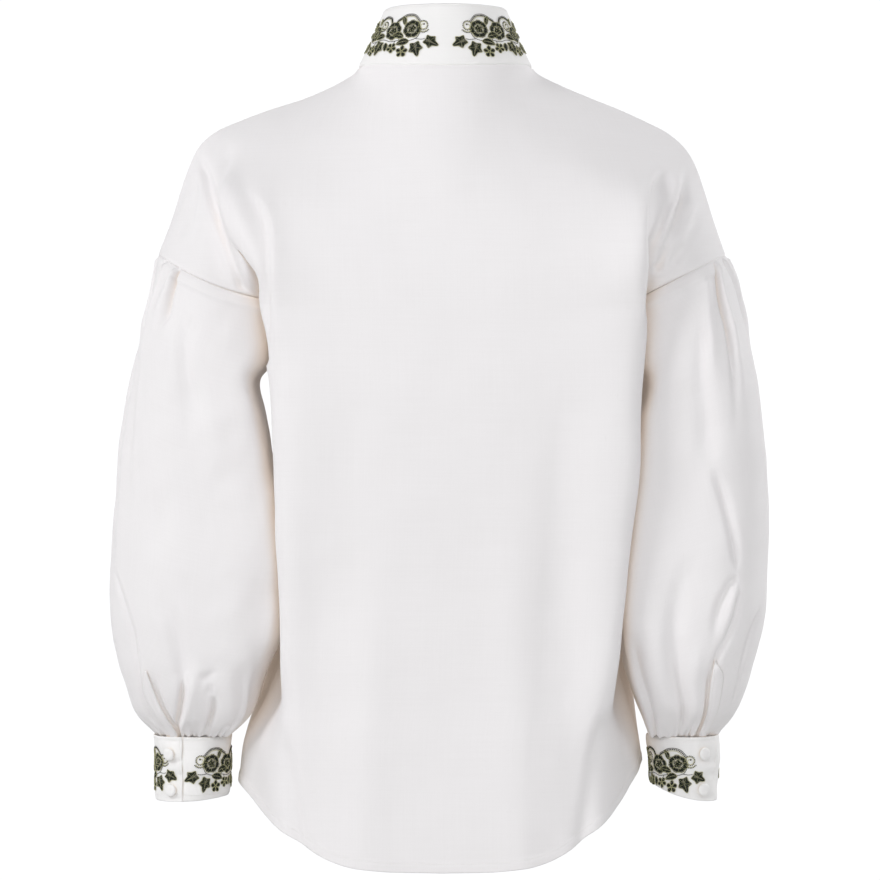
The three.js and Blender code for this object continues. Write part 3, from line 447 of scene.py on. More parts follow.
SLEEVE_CREASES = dict(  # paths in turn and share of the sleeve's length
    left=listed(
        CREASE_COLUMNS,
        ("pleat", 1.2, 5.5, 7.0, 0.01, 0.45, [(57, 0.0), (52, 0.05), (53, 0.11), (51, 0.19)]),
        ("pleat", 1.2, 4.5, -5.6, 0.01, 0.30, [(36, 0.0), (29, 0.06), (27, 0.12), (30, 0.18)]),
        ("step", 14, 18, -3.6, 0.20, 0.40, [(28, 0.12), (31, 0.18), (40, 0.32), (46, 0.49), (47, 0.58)]),
        ("trough", 8, 11, 3.8, 0.30, 0.35, [(72, 0.06), (78, 0.14), (87, 0.28), (86, 0.40)]),
        ("ridge", 10, 12, 2.2, 0.40, 0.40, [(104, 0.20), (106, 0.36), (104, 0.52)]),
        ("trough", 9, 9, 2.6, 0.40, 0.40, [(70, 0.48), (69, 0.58), (72, 0.66)]),
        ("trough", 7, 6, 4.2, 0.40, 0.30, [(66, 0.69), (79, 0.78), (85, 0.86), (85, 0.89)]),
        ("pleat", 3.4, 2.6, -6.0, 0.30, 0.02,
         [(84, 0.865), (86, 0.90), (81, 0.943), (75, 0.975), (73, 1.02)]),
        ("trough", 2.6, 2.6, 3.2, 0.20, 0.10, [(26, 0.67), (44, 0.75), (49, 0.82), (47, 0.92), (44, 0.98)]),
        ("step", 14, 12, -2.6, 0.30, 0.20, [(30, 0.66), (44, 0.75), (49, 0.83), (47, 0.92)]),
        ("trough", 3.0, 2.6, 5.6, 0.35, 0.02, [(110, 0.90), (111, 0.93), (110, 0.975), (111, 1.02)]),
        ("trough", 3.4, 3.0, 2.6, 0.40, 0.40, [(96, 0.885), (104, 0.875), (113, 0.868)]),
        ("trough", 3.0, 2.6, 2.4, 0.40, 0.40, [(103, 0.898), (113, 0.896)]),
        ("ridge", 7, 6, 3.0, 0.40, 0.20, [(97, 0.84), (96, 0.91), (94, 0.98)]),
        ("trough", 12, 9, 5.0, 0.35, 0.20,
         [(115, 0.60), (128, 0.69), (127, 0.785), (141, 0.91), (146, 0.98)]),
        ("trough", 5, 4, 3.6, 0.40, 0.05, [(121, 0.84), (128, 0.90), (133, 0.98)]),
        ("trough", 6, 7, 4.2, 0.10, 0.35, [(20, 0.02), (14, 0.16), (17, 0.34), (22, 0.56), (27, 0.74)]),
        ("trough", 9, 9, 3.6, 0.35, 0.35, [(-64, 0.10), (-70, 0.26), (-66, 0.44)]),
        ("pleat", 1.2, 5.5, 5.0, 0.01, 0.40, [(2, 0.0), (4, 0.06), (6, 0.16), (6, 0.24)]),
        ("pleat", 1.2, 5.5, 5.0, 0.01, 0.40, [(-34, 0.0), (-31, 0.06), (-30, 0.15), (-32, 0.22)]),
        ("pleat", 1.2, 5.0, 4.5, 0.01, 0.40, [(-60, 0.0), (-55, 0.05), (-55, 0.13)]),
        ("trough", 8, 5, 5.0, 0.35, 0.05, [(-58, 0.70), (-66, 0.82), (-62, 0.92), (-60, 1.02)]),
        ("trough", 7, 4, 5.0, 0.35, 0.05, [(-104, 0.74), (-98, 0.86), (-100, 0.94), (-96, 1.02)]),
        ("trough", 4, 3, 4.6, 0.35, 0.05, [(-20, 0.86), (-18, 0.93), (-22, 1.02)]),
        ("trough", 8, 6, 4.6, 0.35, 0.10, [(-136, 0.72), (-130, 0.86), (-134, 0.98)]),
    ),
    right=listed(
        CREASE_COLUMNS,
        ("pleat", 1.3, 4.6, 7.0, 0.01, 0.50,
         [(48, 0.0), (53, 0.04), (56, 0.08), (57, 0.18), (59, 0.28), (62, 0.44)]),
        ("ridge", 6, 9, 3.6, 0.10, 0.40, [(65, 0.01), (74, 0.09), (80, 0.17), (84, 0.30)]),
        ("pleat", 1.2, 5.0, 4.6, 0.01, 0.40, [(32, 0.0), (25, 0.05), (22, 0.12), (18, 0.22)]),
        ("trough", 5, 5, 3.4, 0.30, 0.35, [(12, 0.20), (7, 0.32), (10, 0.44)]),
        ("trough", 8, 10, 3.8, 0.30, 0.30, [(76, 0.06), (89, 0.17), (88, 0.34), (82, 0.48)]),
        ("trough", 4.5, 3.2, 4.4, 0.30, 0.20, [(85, 0.44), (74, 0.51), (66, 0.60), (60, 0.68)]),
        ("pleat", 3.2, 4.6, 4.6, 0.15, 0.40, [(59, 0.695), (66, 0.703), (72, 0.735), (75, 0.77), (76, 0.82)]),
        ("trough", 2.8, 3.2, 3.6, 0.20, 0.15,
         [(60, 0.69), (60, 0.74), (63, 0.78), (66, 0.807), (71, 0.835), (74, 0.87)]),
        ("trough", 3.0, 3.0, 3.4, 0.25, 0.15, [(31, 0.74), (42, 0.78), (44, 0.83), (43, 0.87), (38, 0.94)]),
        ("step", 14, 12, -2.6, 0.30, 0.20, [(33, 0.74), (42, 0.78), (44, 0.84), (40, 0.93)]),
        ("trough", 9, 3.4, 5.0, 0.35, 0.04,
         [(94, 0.60), (104, 0.71), (106, 0.80), (105, 0.87), (102, 0.93), (99, 1.02)]),
        ("trough", 5.5, 3.0, 4.8, 0.30, 0.04, [(131, 0.775), (132, 0.85), (131, 0.91), (134, 1.02)]),
        ("ridge", 9, 7, 3.0, 0.40, 0.20, [(118, 0.70), (119, 0.84), (117, 0.96)]),
        ("ridge", 8, 6, 2.6, 0.40, 0.20, [(88, 0.78), (89, 0.88), (86, 0.97)]),
        ("trough", 10, 8, 4.0, 0.35, 0.15, [(150, 0.66), (152, 0.80), (156, 0.94)]),
        ("trough", 9, 9, 3.6, 0.35, 0.35, [(-66, 0.10), (-72, 0.28), (-68, 0.42)]),
        ("pleat", 1.2, 5.5, -5.0, 0.01, 0.40, [(-2, 0.0), (2, 0.06), (4, 0.16), (4, 0.24)]),
        ("pleat", 1.2, 5.5, -5.0, 0.01, 0.40, [(-32, 0.0), (-30, 0.06), (-28, 0.15), (-30, 0.23)]),
        ("pleat", 1.2, 5.0, -4.5, 0.01, 0.40, [(-58, 0.0), (-54, 0.05), (-54, 0.14)]),
        ("trough", 8, 5, 5.0, 0.35, 0.05, [(-52, 0.72), (-60, 0.84), (-58, 0.93), (-58, 1.02)]),
        ("trough", 7, 4, 5.0, 0.35, 0.05, [(-100, 0.70), (-96, 0.84), (-98, 0.94), (-92, 1.02)]),
        ("trough", 4, 3, 4.6, 0.35, 0.05, [(2, 0.87), (4, 0.93), (0, 1.02)]),
        ("trough", 8, 6, 4.6, 0.35, 0.10, [(-138, 0.70), (-130, 0.84), (-134, 0.98)]),
    ),
)


def curve_through(path, count):
    """Points spaced along a smooth curve through a few."""
    path = np.asarray(path, float)
    at = np.linspace(0, len(path) - 1, count)
    return np.stack([smooth(np.arange(len(path)), values, at) for values in path.T], -1)


STEP_EDGE = 2.0  # how soft the edge of a step is
# the raised fold of a pleat, in widths and depths of its trough
PLEAT = dict(beside=2.1, breadth=1.3, rise=0.55)
CREASE_POINTS, CREASE_REACH = 60, 5  # points along a crease, and how many widths away it is felt


def crease_profile(kind, off, width, depth):
    """How high a crease stands across its line."""
    if kind == "step":
        return depth * np.tanh(off / STEP_EDGE) * np.exp(-np.abs(off) / width) / 2
    if kind == "ridge":
        return depth * bell(off / width)
    if kind == "trough":
        return -depth * bell(off / width)
    fold = bell((off * math.copysign(1, depth) - PLEAT["beside"] * width) / (PLEAT["breadth"] * width))
    return abs(depth) * (PLEAT["rise"] * fold - bell(off / width))


def crease_lift(flat, creases, scale=1.0):
    """How far creases lift or sink a grid. flat has the coordinates of their paths, scaled."""
    lift = np.zeros(flat.shape[:2])
    for crease in creases:
        line = curve_through(crease["path"], CREASE_POINTS) * scale
        reach = CREASE_REACH * max(crease["width"], crease["widens"])
        near = np.all((flat > line.min(0) - reach) & (flat < line.max(0) + reach), -1)
        if not near.any():
            continue
        here = flat[near]
        gaps = here[:, None] - line[None]
        nearest = (gaps**2).sum(-1).argmin(1)
        tangent = unit(np.gradient(line, axis=0)[nearest])
        gap = gaps[np.arange(len(here)), nearest]
        beyond = (gap * tangent).sum(-1) / max(crease["width"], crease["widens"])
        share = nearest / (len(line) - 1)
        fade = ease(0, crease["start"], share) * (1 - ease(1 - crease["end"], 1, share)) * bell(beyond)
        off = tangent[:, 0] * gap[:, 1] - tangent[:, 1] * gap[:, 0]
        wide = mix(crease["width"], crease["widens"], share)
        lift[near] += fade * crease_profile(crease["kind"], off, wide, crease["depth"])
    return lift


def ripple(grid, seed, size, height):
    """A slight unevenness of the cloth, made of waves about as long as size in all directions."""
    random = np.random.default_rng(seed)
    count = 14
    waves = unit(random.normal(size=(count, 3))) * 2 * math.pi / (size * random.uniform(0.7, 1.6, (count, 1)))
    phases = random.uniform(0, 2 * math.pi, count)
    return height * np.sin(grid @ waves.T + phases).sum(-1) / math.sqrt(count)


def ripples(grid, seed, *kinds):
    """Several ripples at once, each a size and a height, with a seed for each."""
    return sum(ripple(grid, seed + i, size, height) for i, (size, height) in enumerate(kinds))


# ---- Grids ----
def spaced(low, high, count, fine=(), reach=1.0, gain=3.0):
    """Places from low to high, closer together round each fine place."""
    steps = 3001
    at = np.linspace(low, high, steps)
    density = 1 + sum(gain * bell((at - place) / reach) for place in fine)
    total = np.concatenate([[0], np.cumsum((density[1:] + density[:-1]) / 2)])
    return np.interp(np.linspace(0, total[-1], count), total, at)


def normals_of(grid, closed=False):
    if closed:
        across = np.roll(grid, -1, 1) - np.roll(grid, 1, 1)
    else:
        across = np.gradient(grid, axis=1)
    return unit(np.cross(across, np.gradient(grid, axis=0)))


def raised(grid, lift, closed=False):
    """A grid moved out of its own face."""
    return grid + normals_of(grid, closed) * lift[..., None]


def distances(grid):
    """The distance of each point from the first and last column and from the first and last row."""
    across = np.linalg.norm(np.diff(grid, axis=1), axis=-1)
    down = np.linalg.norm(np.diff(grid, axis=0), axis=-1)
    left = np.pad(np.cumsum(across, 1), ((0, 0), (1, 0)))
    top = np.pad(np.cumsum(down, 0), ((1, 0), (0, 0)))
    return left, left[:, -1:] - left, top, top[-1:] - top


def tucked(grid, order, length, sink, closed=False):
    """Two rows added at the top edge, or with order -1 at the bottom, where the cloth turns under another."""
    out = normals_of(grid, closed)[::order][0]
    rows = grid[::order]
    onward = unit(rows[0] - rows[2])
    added = [rows[0] + onward * length * t - out * sink * t for t in (1.0, 0.5)]
    return np.concatenate([np.stack(added), rows])[::order]


def relaxed(grid, reach, mask):
    """The grid with its kinks eased out along the rows, more and more with the distance from the top."""
    top = distances(grid)[2]
    rounds, overlap = 90, 9
    for step in range(rounds):
        eased = grid.copy()
        eased[:, 1:-1] = (grid[:, :-2] + 2 * grid[:, 1:-1] + grid[:, 2:]) / 4
        begun = ease(step * reach / rounds, (step + overlap) * reach / rounds, top)
        grid = mix(grid, eased, (begun * mask)[..., None])
    return grid


class Cloth:
    """A finished outer face of cloth. Places on it are given by row and column, or by distances."""

    def __init__(self, grid, closed=False, grain=None):
        self.grid = grid
        self.closed = closed
        self.normals = normals_of(grid, closed)
        self.along = run_of(grid[len(grid) // 2])
        self.down = distances(grid)[2]
        self.grain = grain

    def at(self, row, col, out=0.0):
        """Points between rows and columns, raised off the cloth by out."""
        row, col, out = np.broadcast_arrays(row, col, out)
        i = np.clip(np.floor(row).astype(int), 0, self.grid.shape[0] - 2)
        j = np.clip(np.floor(col).astype(int), 0, self.grid.shape[1] - 2)
        a, b = (row - i)[..., None], (col - j)[..., None]

        def between(g):
            return mix(mix(g[i, j], g[i, j + 1], b), mix(g[i + 1, j], g[i + 1, j + 1], b), a)

        normal = unit(between(self.normals))
        return between(self.grid) + normal * out[..., None], normal

    def place(self, along, down, out=0.0):
        """Points at a distance along the middle row from the first column, and down from the top edge."""
        col = np.interp(along, self.along, np.arange(len(self.along)))
        nearest = np.clip(np.round(col).astype(int), 0, self.grid.shape[1] - 1)
        depth = self.down[-1][nearest]
        row = np.empty(np.shape(col))
        flat_row, flat_col = row.reshape(-1), nearest.reshape(-1)
        wanted = np.clip(np.broadcast_to(down, row.shape), 0, depth).reshape(-1)
        for j in np.unique(flat_col):
            here = flat_col == j
            flat_row[here] = np.interp(wanted[here], self.down[:, j], np.arange(len(self.grid)))
        return self.at(flat_row.reshape(row.shape), col, out)


# ---- Meshes ----
def placed(name, data):
    """An object of its own in the scene."""
    obj = bpy.data.objects.new(name, data)
    bpy.context.scene.collection.objects.link(obj)
    return obj


def make_mesh(name, points, faces, materials, face_materials=None, tones=None, uvs=None):
    """
    An object of points in millimetres. A face is a row of four corners, and one that repeats a corner
    is a triangle. uvs has a place for each corner.
    """
    faces = np.asarray(faces)
    kept = faces != np.roll(faces, 1, 1)
    sides = kept.sum(1)
    used, corners = np.unique(faces[kept], return_inverse=True)
    mesh = bpy.data.meshes.new(name)
    mesh.vertices.add(len(used))
    mesh.vertices.foreach_set("co", (points[used] * MM).astype(np.float32).ravel())
    mesh.loops.add(len(corners))
    mesh.loops.foreach_set("vertex_index", corners.astype(np.int32).ravel())
    mesh.polygons.add(len(faces))
    mesh.polygons.foreach_set("loop_start", (np.cumsum(sides) - sides).astype(np.int32))
    mesh.polygons.foreach_set("use_smooth", np.ones(len(faces), bool))
    for material in materials:
        mesh.materials.append(material)
    if face_materials is not None:
        mesh.polygons.foreach_set("material_index", face_materials.astype(np.int32))
    if tones is not None:
        layer = mesh.attributes.new("tone", "FLOAT", "POINT")
        layer.data.foreach_set("value", tones[used].astype(np.float32))
    if uvs is not None:
        layer = mesh.uv_layers.new(name="weave")
        layer.data.foreach_set("uv", (uvs[kept] * MM).astype(np.float32).ravel())
    mesh.update(calc_edges=True)
    mesh.validate()
    return placed(name, mesh)


def grain_of(cloth):
    """Where each point lies on the woven cloth, with the first column again at the end of a closed one."""
    if cloth.grain is not None:
        return cloth.grain
    grid = np.concatenate([cloth.grid, cloth.grid[:, :1]], 1) if cloth.closed else cloth.grid
    across, _, down, _ = distances(grid)
    return np.stack([across, -down], -1)


def shell(name, cloth, material, thickness=CLOTH):
    """A thin closed shell: the cloth's face, a second face inside it, and rims at the open edges."""
    rows, columns = cloth.grid.shape[:2]
    outer = cloth.grid.reshape(-1, 3)
    inner = outer - cloth.normals.reshape(-1, 3) * thickness
    grain = grain_of(cloth)
    corner = np.arange(grain.shape[0] * grain.shape[1]).reshape(grain.shape[:2])
    index = np.arange(rows * columns).reshape(rows, columns)
    if cloth.closed:
        index = np.concatenate([index, index[:, :1]], 1)
    shift = rows * columns

    def quads(grid, flipped=False):
        corners = [grid[:-1, :-1], grid[:-1, 1:], grid[1:, 1:], grid[1:, :-1]]
        return np.stack([c.ravel() for c in (corners[::-1] if flipped else corners)], -1)

    def rim(edge, grain_edge, flipped):
        order = slice(None, None, -1) if flipped else slice(None)
        face = np.stack([edge[:-1], edge[:-1] + shift, edge[1:] + shift, edge[1:]], -1)[:, order]
        place = np.stack([grain_edge[:-1], grain_edge[:-1], grain_edge[1:], grain_edge[1:]], -1)[:, order]
        return face, place

    pairs = [
        (quads(index), quads(corner)),
        (quads(index, True) + shift, quads(corner, True)),
        rim(index[0], corner[0], False),
        rim(index[-1], corner[-1], True),
    ]
    if not cloth.closed:
        pairs.append(rim(index[:, 0], corner[:, 0], True))
        pairs.append(rim(index[:, -1], corner[:, -1], False))
    faces = np.concatenate([face for face, _ in pairs])
    uvs = grain.reshape(-1, 2)[np.concatenate([place for _, place in pairs])]
    return make_mesh(name, np.concatenate([outer, inner]), faces, [material], uvs=uvs)


THREAD_END = 0.45  # how thick a stitch is where it enters the cloth, as a share of its middle
THREAD_LIFT = 0.1  # how far over the cloth a row of stitches lies
KNOT_RINGS = [(0.55, -0.45), (1.0, 0.1), (0.62, 0.75)]  # a knot's size and height at each ring, in radii


class Needlework:
    """Threads gathered into one mesh, each with a material and a tone of its own."""

    def __init__(self, seed):
        self.random = np.random.default_rng(seed)
        self.points, self.faces, self.kinds, self.tones = [], [], [], []
        self.count = 0

    def threads(self, paths, outs, half_width, height, kind=0):
        """Rounded threads along paths, an array (thread, point, xyz), lying on a cloth that faces outs."""
        number, steps = paths.shape[:2]
        side = unit(np.cross(np.gradient(paths, axis=1), outs)) * half_width
        up = outs * height
        taper = np.ones((1, steps, 1))
        taper[:, [0, -1]] = THREAD_END
        corners = np.stack(
            [paths - side * taper, paths + up * taper, paths + side * taper, paths - up * 0.5 * taper], 2
        )
        index = np.arange(number * steps * 4).reshape(number, steps, 4) + self.count
        turned = np.roll(index, -1, 2)
        walls = np.stack([index[:, :-1], turned[:, :-1], turned[:, 1:], index[:, 1:]], -1).reshape(-1, 4)
        caps = np.concatenate([index[:, 0, ::-1], index[:, -1]])
        faces = np.concatenate([walls, caps])
        self.keep(corners.reshape(-1, 3), faces, kind, number)

    def keep(self, points, faces, kind, number):
        self.points.append(points)
        self.faces.append(faces)
        self.kinds.append(np.full(len(faces), kind))
        self.tones.append(np.repeat(self.random.uniform(0, 1, number), len(points) // number))
        self.count += len(points)

    def knots(self, centres, outs, radius, kind=0):
        """Small round knots, each a ball of eight sides pressed on the cloth."""
        first = unit(np.cross(outs, [[0.31, 0.22, 0.92]]))
        second = np.cross(outs, first)
        sides, number = 8, len(centres)
        turns = np.arange(sides) * 2 * math.pi / sides
        around = np.cos(turns)[:, None] * first[:, None] + np.sin(turns)[:, None] * second[:, None]
        points = [centres[:, None] - outs[:, None] * radius * 0.5]
        for size, up in KNOT_RINGS:
            points.append(centres[:, None] + around * radius * size + outs[:, None] * radius * up)
        points.append(centres[:, None] + outs[:, None] * radius)
        points = np.concatenate(points, 1)
        low, top = 1 + np.arange(sides), 1 + sides * len(KNOT_RINGS)
        rings = [0 * low, *(low + sides * i for i in range(len(KNOT_RINGS))), 0 * low + top]
        faces = [
            np.stack([np.roll(above, -1), above, below, np.roll(below, -1)], -1)
            for below, above in zip(rings, rings[1:])
        ]
        steps = (np.arange(number) * points.shape[1] + self.count)[:, None, None]
        self.keep(points.reshape(-1, 3), (np.concatenate(faces)[None] + steps).reshape(-1, 4), kind, number)

    def line(self, cloth, path, stitch, gap, half_width, height, rows=False):
        """A row of stitches along a path on a cloth, given as (along, down), or as (row, column)."""
        path = np.asarray(path, float)
        place = cloth.at if rows else cloth.place
        run = run_of(place(*path.T)[0])
        number = int(run[-1] / (stitch + gap))
        start = (np.arange(number) + 0.5) * run[-1] / number - stitch / 2
        wanted = read_line(start[:, None] + np.linspace(0, stitch, 4), run, path)
        points, outs = place(wanted[..., 0], wanted[..., 1], THREAD_LIFT)
        self.threads(points, outs, half_width, height)

    def build(self, name, materials):
        points, faces, kinds, tones = map(np.concatenate, (self.points, self.faces, self.kinds, self.tones))
        return make_mesh(name, points, faces, materials, kinds, tones)


# ---- Finishes ----
class Shade:
    """A number that a material works out. Arithmetic on it adds Math nodes."""

    def __init__(self, finish, socket):
        self.finish, self.socket = finish, socket

    def math(self, operation, *others):
        values = {0: self, **{i + 1: other for i, other in enumerate(others)}}
        return self.finish.node("ShaderNodeMath", {"operation": operation}, values)

    def __add__(self, other):
        return self.math("ADD", other)

    def __sub__(self, other):
        return self.math("SUBTRACT", other)

    def __rsub__(self, other):
        return self.math("MULTIPLY", -1).math("ADD", other)

    def __mul__(self, other):
        return self.math("MULTIPLY", other)

    def clamped(self, low, high):
        return self.math("MAXIMUM", low).math("MINIMUM", high)

    __radd__ = __add__
    __rmul__ = __mul__


class Finish:
    """A material, or the world, and its nodes."""

    def __init__(self, owner):
        self.owner = owner
        owner.use_nodes = True
        self.tree = owner.node_tree
        self.tree.nodes.clear()

    def node(self, kind, settings=None, values=None, output=0):
        """Adds a node, gives it its settings, then its sockets' values or links, and returns an output."""
        node = self.tree.nodes.new(kind)
        for name, value in (settings or {}).items():
            setattr(node, name, value)
        for name, value in (values or {}).items():
            socket = node.inputs[name]
            if isinstance(value, Shade):
                self.tree.links.new(value.socket, socket)
            else:
                socket.default_value = value
        return Shade(self, node.outputs[output]) if len(node.outputs) else None

    def blend(self, share, first, second, kind="MIX"):
        """A colour between two, or with the kind MULTIPLY the first one tinted by the second."""
        settings = {"data_type": "RGBA", "blend_type": kind, "clamp_factor": True}
        return self.node("ShaderNodeMix", settings, {0: share, 6: first, 7: second}, output=2)

    def noise(self, vector, scale, detail=2.0, roughness=0.5):
        values = {"Vector": vector, "Scale": scale, "Detail": detail, "Roughness": roughness}
        return self.node("ShaderNodeTexNoise", {"noise_dimensions": "3D"}, values)

    def streaks(self, vector, across, down, depth, detail):
        """Noise drawn out along the threads. The numbers are its streaks to a metre each way."""
        settings = {"operation": "MULTIPLY"}
        drawn = self.node("ShaderNodeVectorMath", settings, {0: vector, 1: (across, down, depth)})
        return self.noise(drawn, 1.0, detail)

    def part(self, vector, axis):
        """The x, y or z of a vector, as axis 0, 1 or 2."""
        return self.node("ShaderNodeSeparateXYZ", {}, {0: vector}, output=axis)

    def bump(self, height, strength, distance):
        return self.node("ShaderNodeBump", {}, {"Height": height, "Strength": strength, "Distance": distance})

    def surface(self, **values):
        sockets = {}
        for name, value in values.items():
            sockets[name.replace("_", " ").title().replace("Ior", "IOR")] = value
        shader = self.node("ShaderNodeBsdfPrincipled", {}, sockets)
        self.node("ShaderNodeOutputMaterial", {}, {"Surface": shader})
        return self.owner


PAINTED_GAP_SHADE = (1.0, 0.91, 0.80, 1)  # the warm tint painted into the linen's colour where another cloth lies near: painted shade
PAINTED_GAP_GLOW = (0.80, 0.74, 0.68, 1)  # a faint warm glow painted into narrow gaps between cloths, as emission: painted light
GAP_REACH = 0.035  # how near another cloth must lie for the painted shade and glow, in metres


def linen(name, light, dark, pitch=0.55, relief=0.3):
    """Plain-woven linen: threads that pass over and under each other, some thicker, with a few slubs. Where
    another cloth lies near, painted shade darkens and warms its colour, and a faint painted glow is added.
    """
    finish = Finish(bpy.data.materials.new(name))
    flat = finish.node("ShaderNodeUVMap", {"uv_map": "weave"})
    wave = 2 * math.pi / (pitch * MM)
    warp_wave = (finish.part(flat, 0) * wave).math("SINE")
    weft_wave = (finish.part(flat, 1) * (wave * 0.94)).math("SINE")
    weave = warp_wave * weft_wave * 0.5 + 0.5
    threads = finish.streaks(flat, 16, 700, 1, 2.0) * 0.5 + finish.streaks(flat, 800, 13, 1, 2.0) * 0.5

    def slub(across, down, depth):
        return (finish.streaks(flat, across, down, depth, 0.0) - 0.80).clamped(0.0, 0.1) * 10.0

    slubs = slub(130, 900, 1).math("MAXIMUM", slub(900, 110, 3))
    place = finish.node("ShaderNodeTexCoord", {}, {}, output=3)
    patches = finish.noise(place, 7.0, 3.0, 0.55)
    share = (threads * 0.8 + weave * 0.1 + patches * 0.45 - slubs * 0.35 - 0.18).clamped(0.0, 1.0)
    colour = finish.blend(share, (*dark, 1), (*light, 1))
    # where another cloth lies near: the mask of the painted shade and glow
    open_share = finish.node("ShaderNodeAmbientOcclusion", {"samples": 6}, {"Distance": GAP_REACH}, output=1)
    gap = ((1.0 - open_share) * 1.6 - 0.6).clamped(0.0, 1.0)
    # painted shade: the colour darkened and warmed in narrow gaps
    tinted = finish.blend(gap, colour, PAINTED_GAP_SHADE, "MULTIPLY")
    # painted light: a faint warm glow in the same gaps, given as emission
    glow = finish.blend(gap, (0, 0, 0, 1), PAINTED_GAP_GLOW)
    normal = finish.bump(weave * 0.5 + threads * 1.0 + slubs * 1.2, relief, 0.00018)
    return finish.surface(
        base_color=tinted, roughness=0.88, sheen_weight=0.12, sheen_roughness=0.45, normal=normal,
        specular_ior_level=0.25, emission_color=glow, emission_strength=0.07,
    )


def thread(name, light, dark, roughness, sheen):
    """Stranded thread, whose tone changes from stitch to stitch, with its twist as fine bands."""
    finish = Finish(bpy.data.materials.new(name))
    settings = {"attribute_name": "tone", "attribute_type": "GEOMETRY"}
    tone = finish.node("ShaderNodeAttribute", settings, output=2)
    place = finish.node("ShaderNodeTexCoord", {}, {}, output=3)
    twist = finish.noise(place, 2600.0, 1.0)
    share = (tone * 0.75 + twist * 0.4 - 0.1).clamped(0.0, 1.0)
    colour = finish.blend(share, (*dark, 1), (*light, 1))
    normal = finish.bump(twist, 0.4, 0.0001)
    return finish.surface(
        base_color=colour, roughness=roughness, sheen_weight=sheen, sheen_roughness=0.4, normal=normal,
        specular_ior_level=0.35,
    )


LINEN = linen("linen", (0.866, 0.846, 0.850), (0.806, 0.783, 0.783))
FINE_LINEN = linen("fine_linen", (0.885, 0.876, 0.866), (0.836, 0.822, 0.812), pitch=0.45, relief=0.22)
SEWING_THREAD = thread("sewing_thread", (0.88, 0.87, 0.855), (0.81, 0.80, 0.785), 0.6, 0.1)
GREEN_THREAD = thread("green_thread", (0.020, 0.028, 0.010), (0.004, 0.006, 0.003), 0.5, 0.04)
PALE_THREAD = thread("pale_thread", (0.64, 0.62, 0.36), (0.42, 0.41, 0.20), 0.6, 0.1)


# ---- Pieces ----
# Each piece of cloth is a Cloth to sew on, and a shell that shows it.
HEM_BAND = dict(width=9, stitch=1.2, rise=0.7)  # its stitches run a little inside its upper edge
SEAM_BAND = 10  # width of the seam allowance pressed into the sleeve
COLLAR_COLUMNS, PLACKET_COLUMNS = 240, 13
STITCH_WIDTH = 0.9  # how wide a groove a row of stitches draws


def dip(distance, depth=0.9, width=1.4):
    """How a seam draws the cloth in."""
    return -depth * bell(distance / width)


def stitched(distance, inset, depth=0.25):
    """The groove that a row of stitches draws."""
    return dip(distance - inset, depth, STITCH_WIDTH)


def body_rows():
    upper = spaced(0, 1, 60, fine=(0,), reach=0.02)
    lower = spaced(1, 2, 88, fine=(2,), reach=0.03, gain=4)
    return np.concatenate([upper, lower[1:]])


def side_shares(count):
    return spaced(NECK_SHARE, 1, count, fine=(0.78, 1, 1), reach=0.05, gain=1.0)


def finished_panel(face, s, v, seed, first_seam=True, last_seam=True):
    """A body panel with folds, creases, seams and hem. Its grain is straight at its middle or free edge."""
    near_centre = (1 - ease(0.46, 0.6, np.abs(s))) * (1 - ease(1.0, 1.2, v))
    plain = relaxed(body(face, s, v), 50, near_centre)
    folded = raised(plain, body_fold(face, s, v))
    left, right, top, bottom = distances(folded)
    lift = crease_lift(folded[..., [0, 2]], BODY_CREASES[face]) + ripples(folded, seed, (90, 0.6), (34, 0.22))
    lift *= ease(0, 12, top) * ease(0, 8, left) * ease(0, 8, right)
    lift += first_seam * dip(left) + last_seam * dip(right) + dip(top, 0.7)
    in_hem = 1 - ease(HEM_BAND["width"] - 1, HEM_BAND["width"], bottom)
    lift += (HEM_BAND["rise"] + ripple(folded, seed + 2, 16, 0.12)) * in_hem
    lift += stitched(bottom, HEM_BAND["width"] - HEM_BAND["stitch"], 0.35)
    grid = raised(folded, lift)
    straight = s.shape[1] // 2 if first_seam and last_seam else -1 if first_seam else 0
    return Cloth(grid, grain=np.stack([left - left[:, [straight]], grid[..., 2]], -1))


def make_back():
    side = side_shares(72)
    shares = np.concatenate([-side[::-1], np.linspace(-NECK_SHARE, NECK_SHARE, 44)[1:-1], side])
    v, s = np.meshgrid(body_rows(), shares, indexing="ij")
    cloth = finished_panel("back", s, v, 11)
    return cloth, shell("back_cloth", cloth, LINEN)


def front_share_at(x, v):
    """The share s of the front where it crosses a given x, found by halving."""
    low, high = np.full(v.shape, -0.3), np.full(v.shape, 0.3)
    for _ in range(40):
        middle = (low + high) / 2
        less = body("front", middle, v)[..., 0] < x
        low, high = np.where(less, middle, low), np.where(less, high, middle)
    return (low + high) / 2


def make_front(name):
    side = ARMS[name]["side"]
    rows = body_rows()
    edge = front_share_at(PLACKET["join_x"], rows)
    outer = np.broadcast_to(side * side_shares(70), (len(rows), 70))
    inner = mix(edge[:, None], side * NECK_SHARE, np.linspace(0, 1, 35, endpoint=False)[None])
    s = np.concatenate([inner, outer], 1)[:, ::-side]
    v = np.broadcast_to(rows[:, None], s.shape)
    cloth = finished_panel("front", s, v, 21 + side, first_seam=side > 0, last_seam=side < 0)
    return cloth, shell(f"front_{name}_cloth", cloth, LINEN)


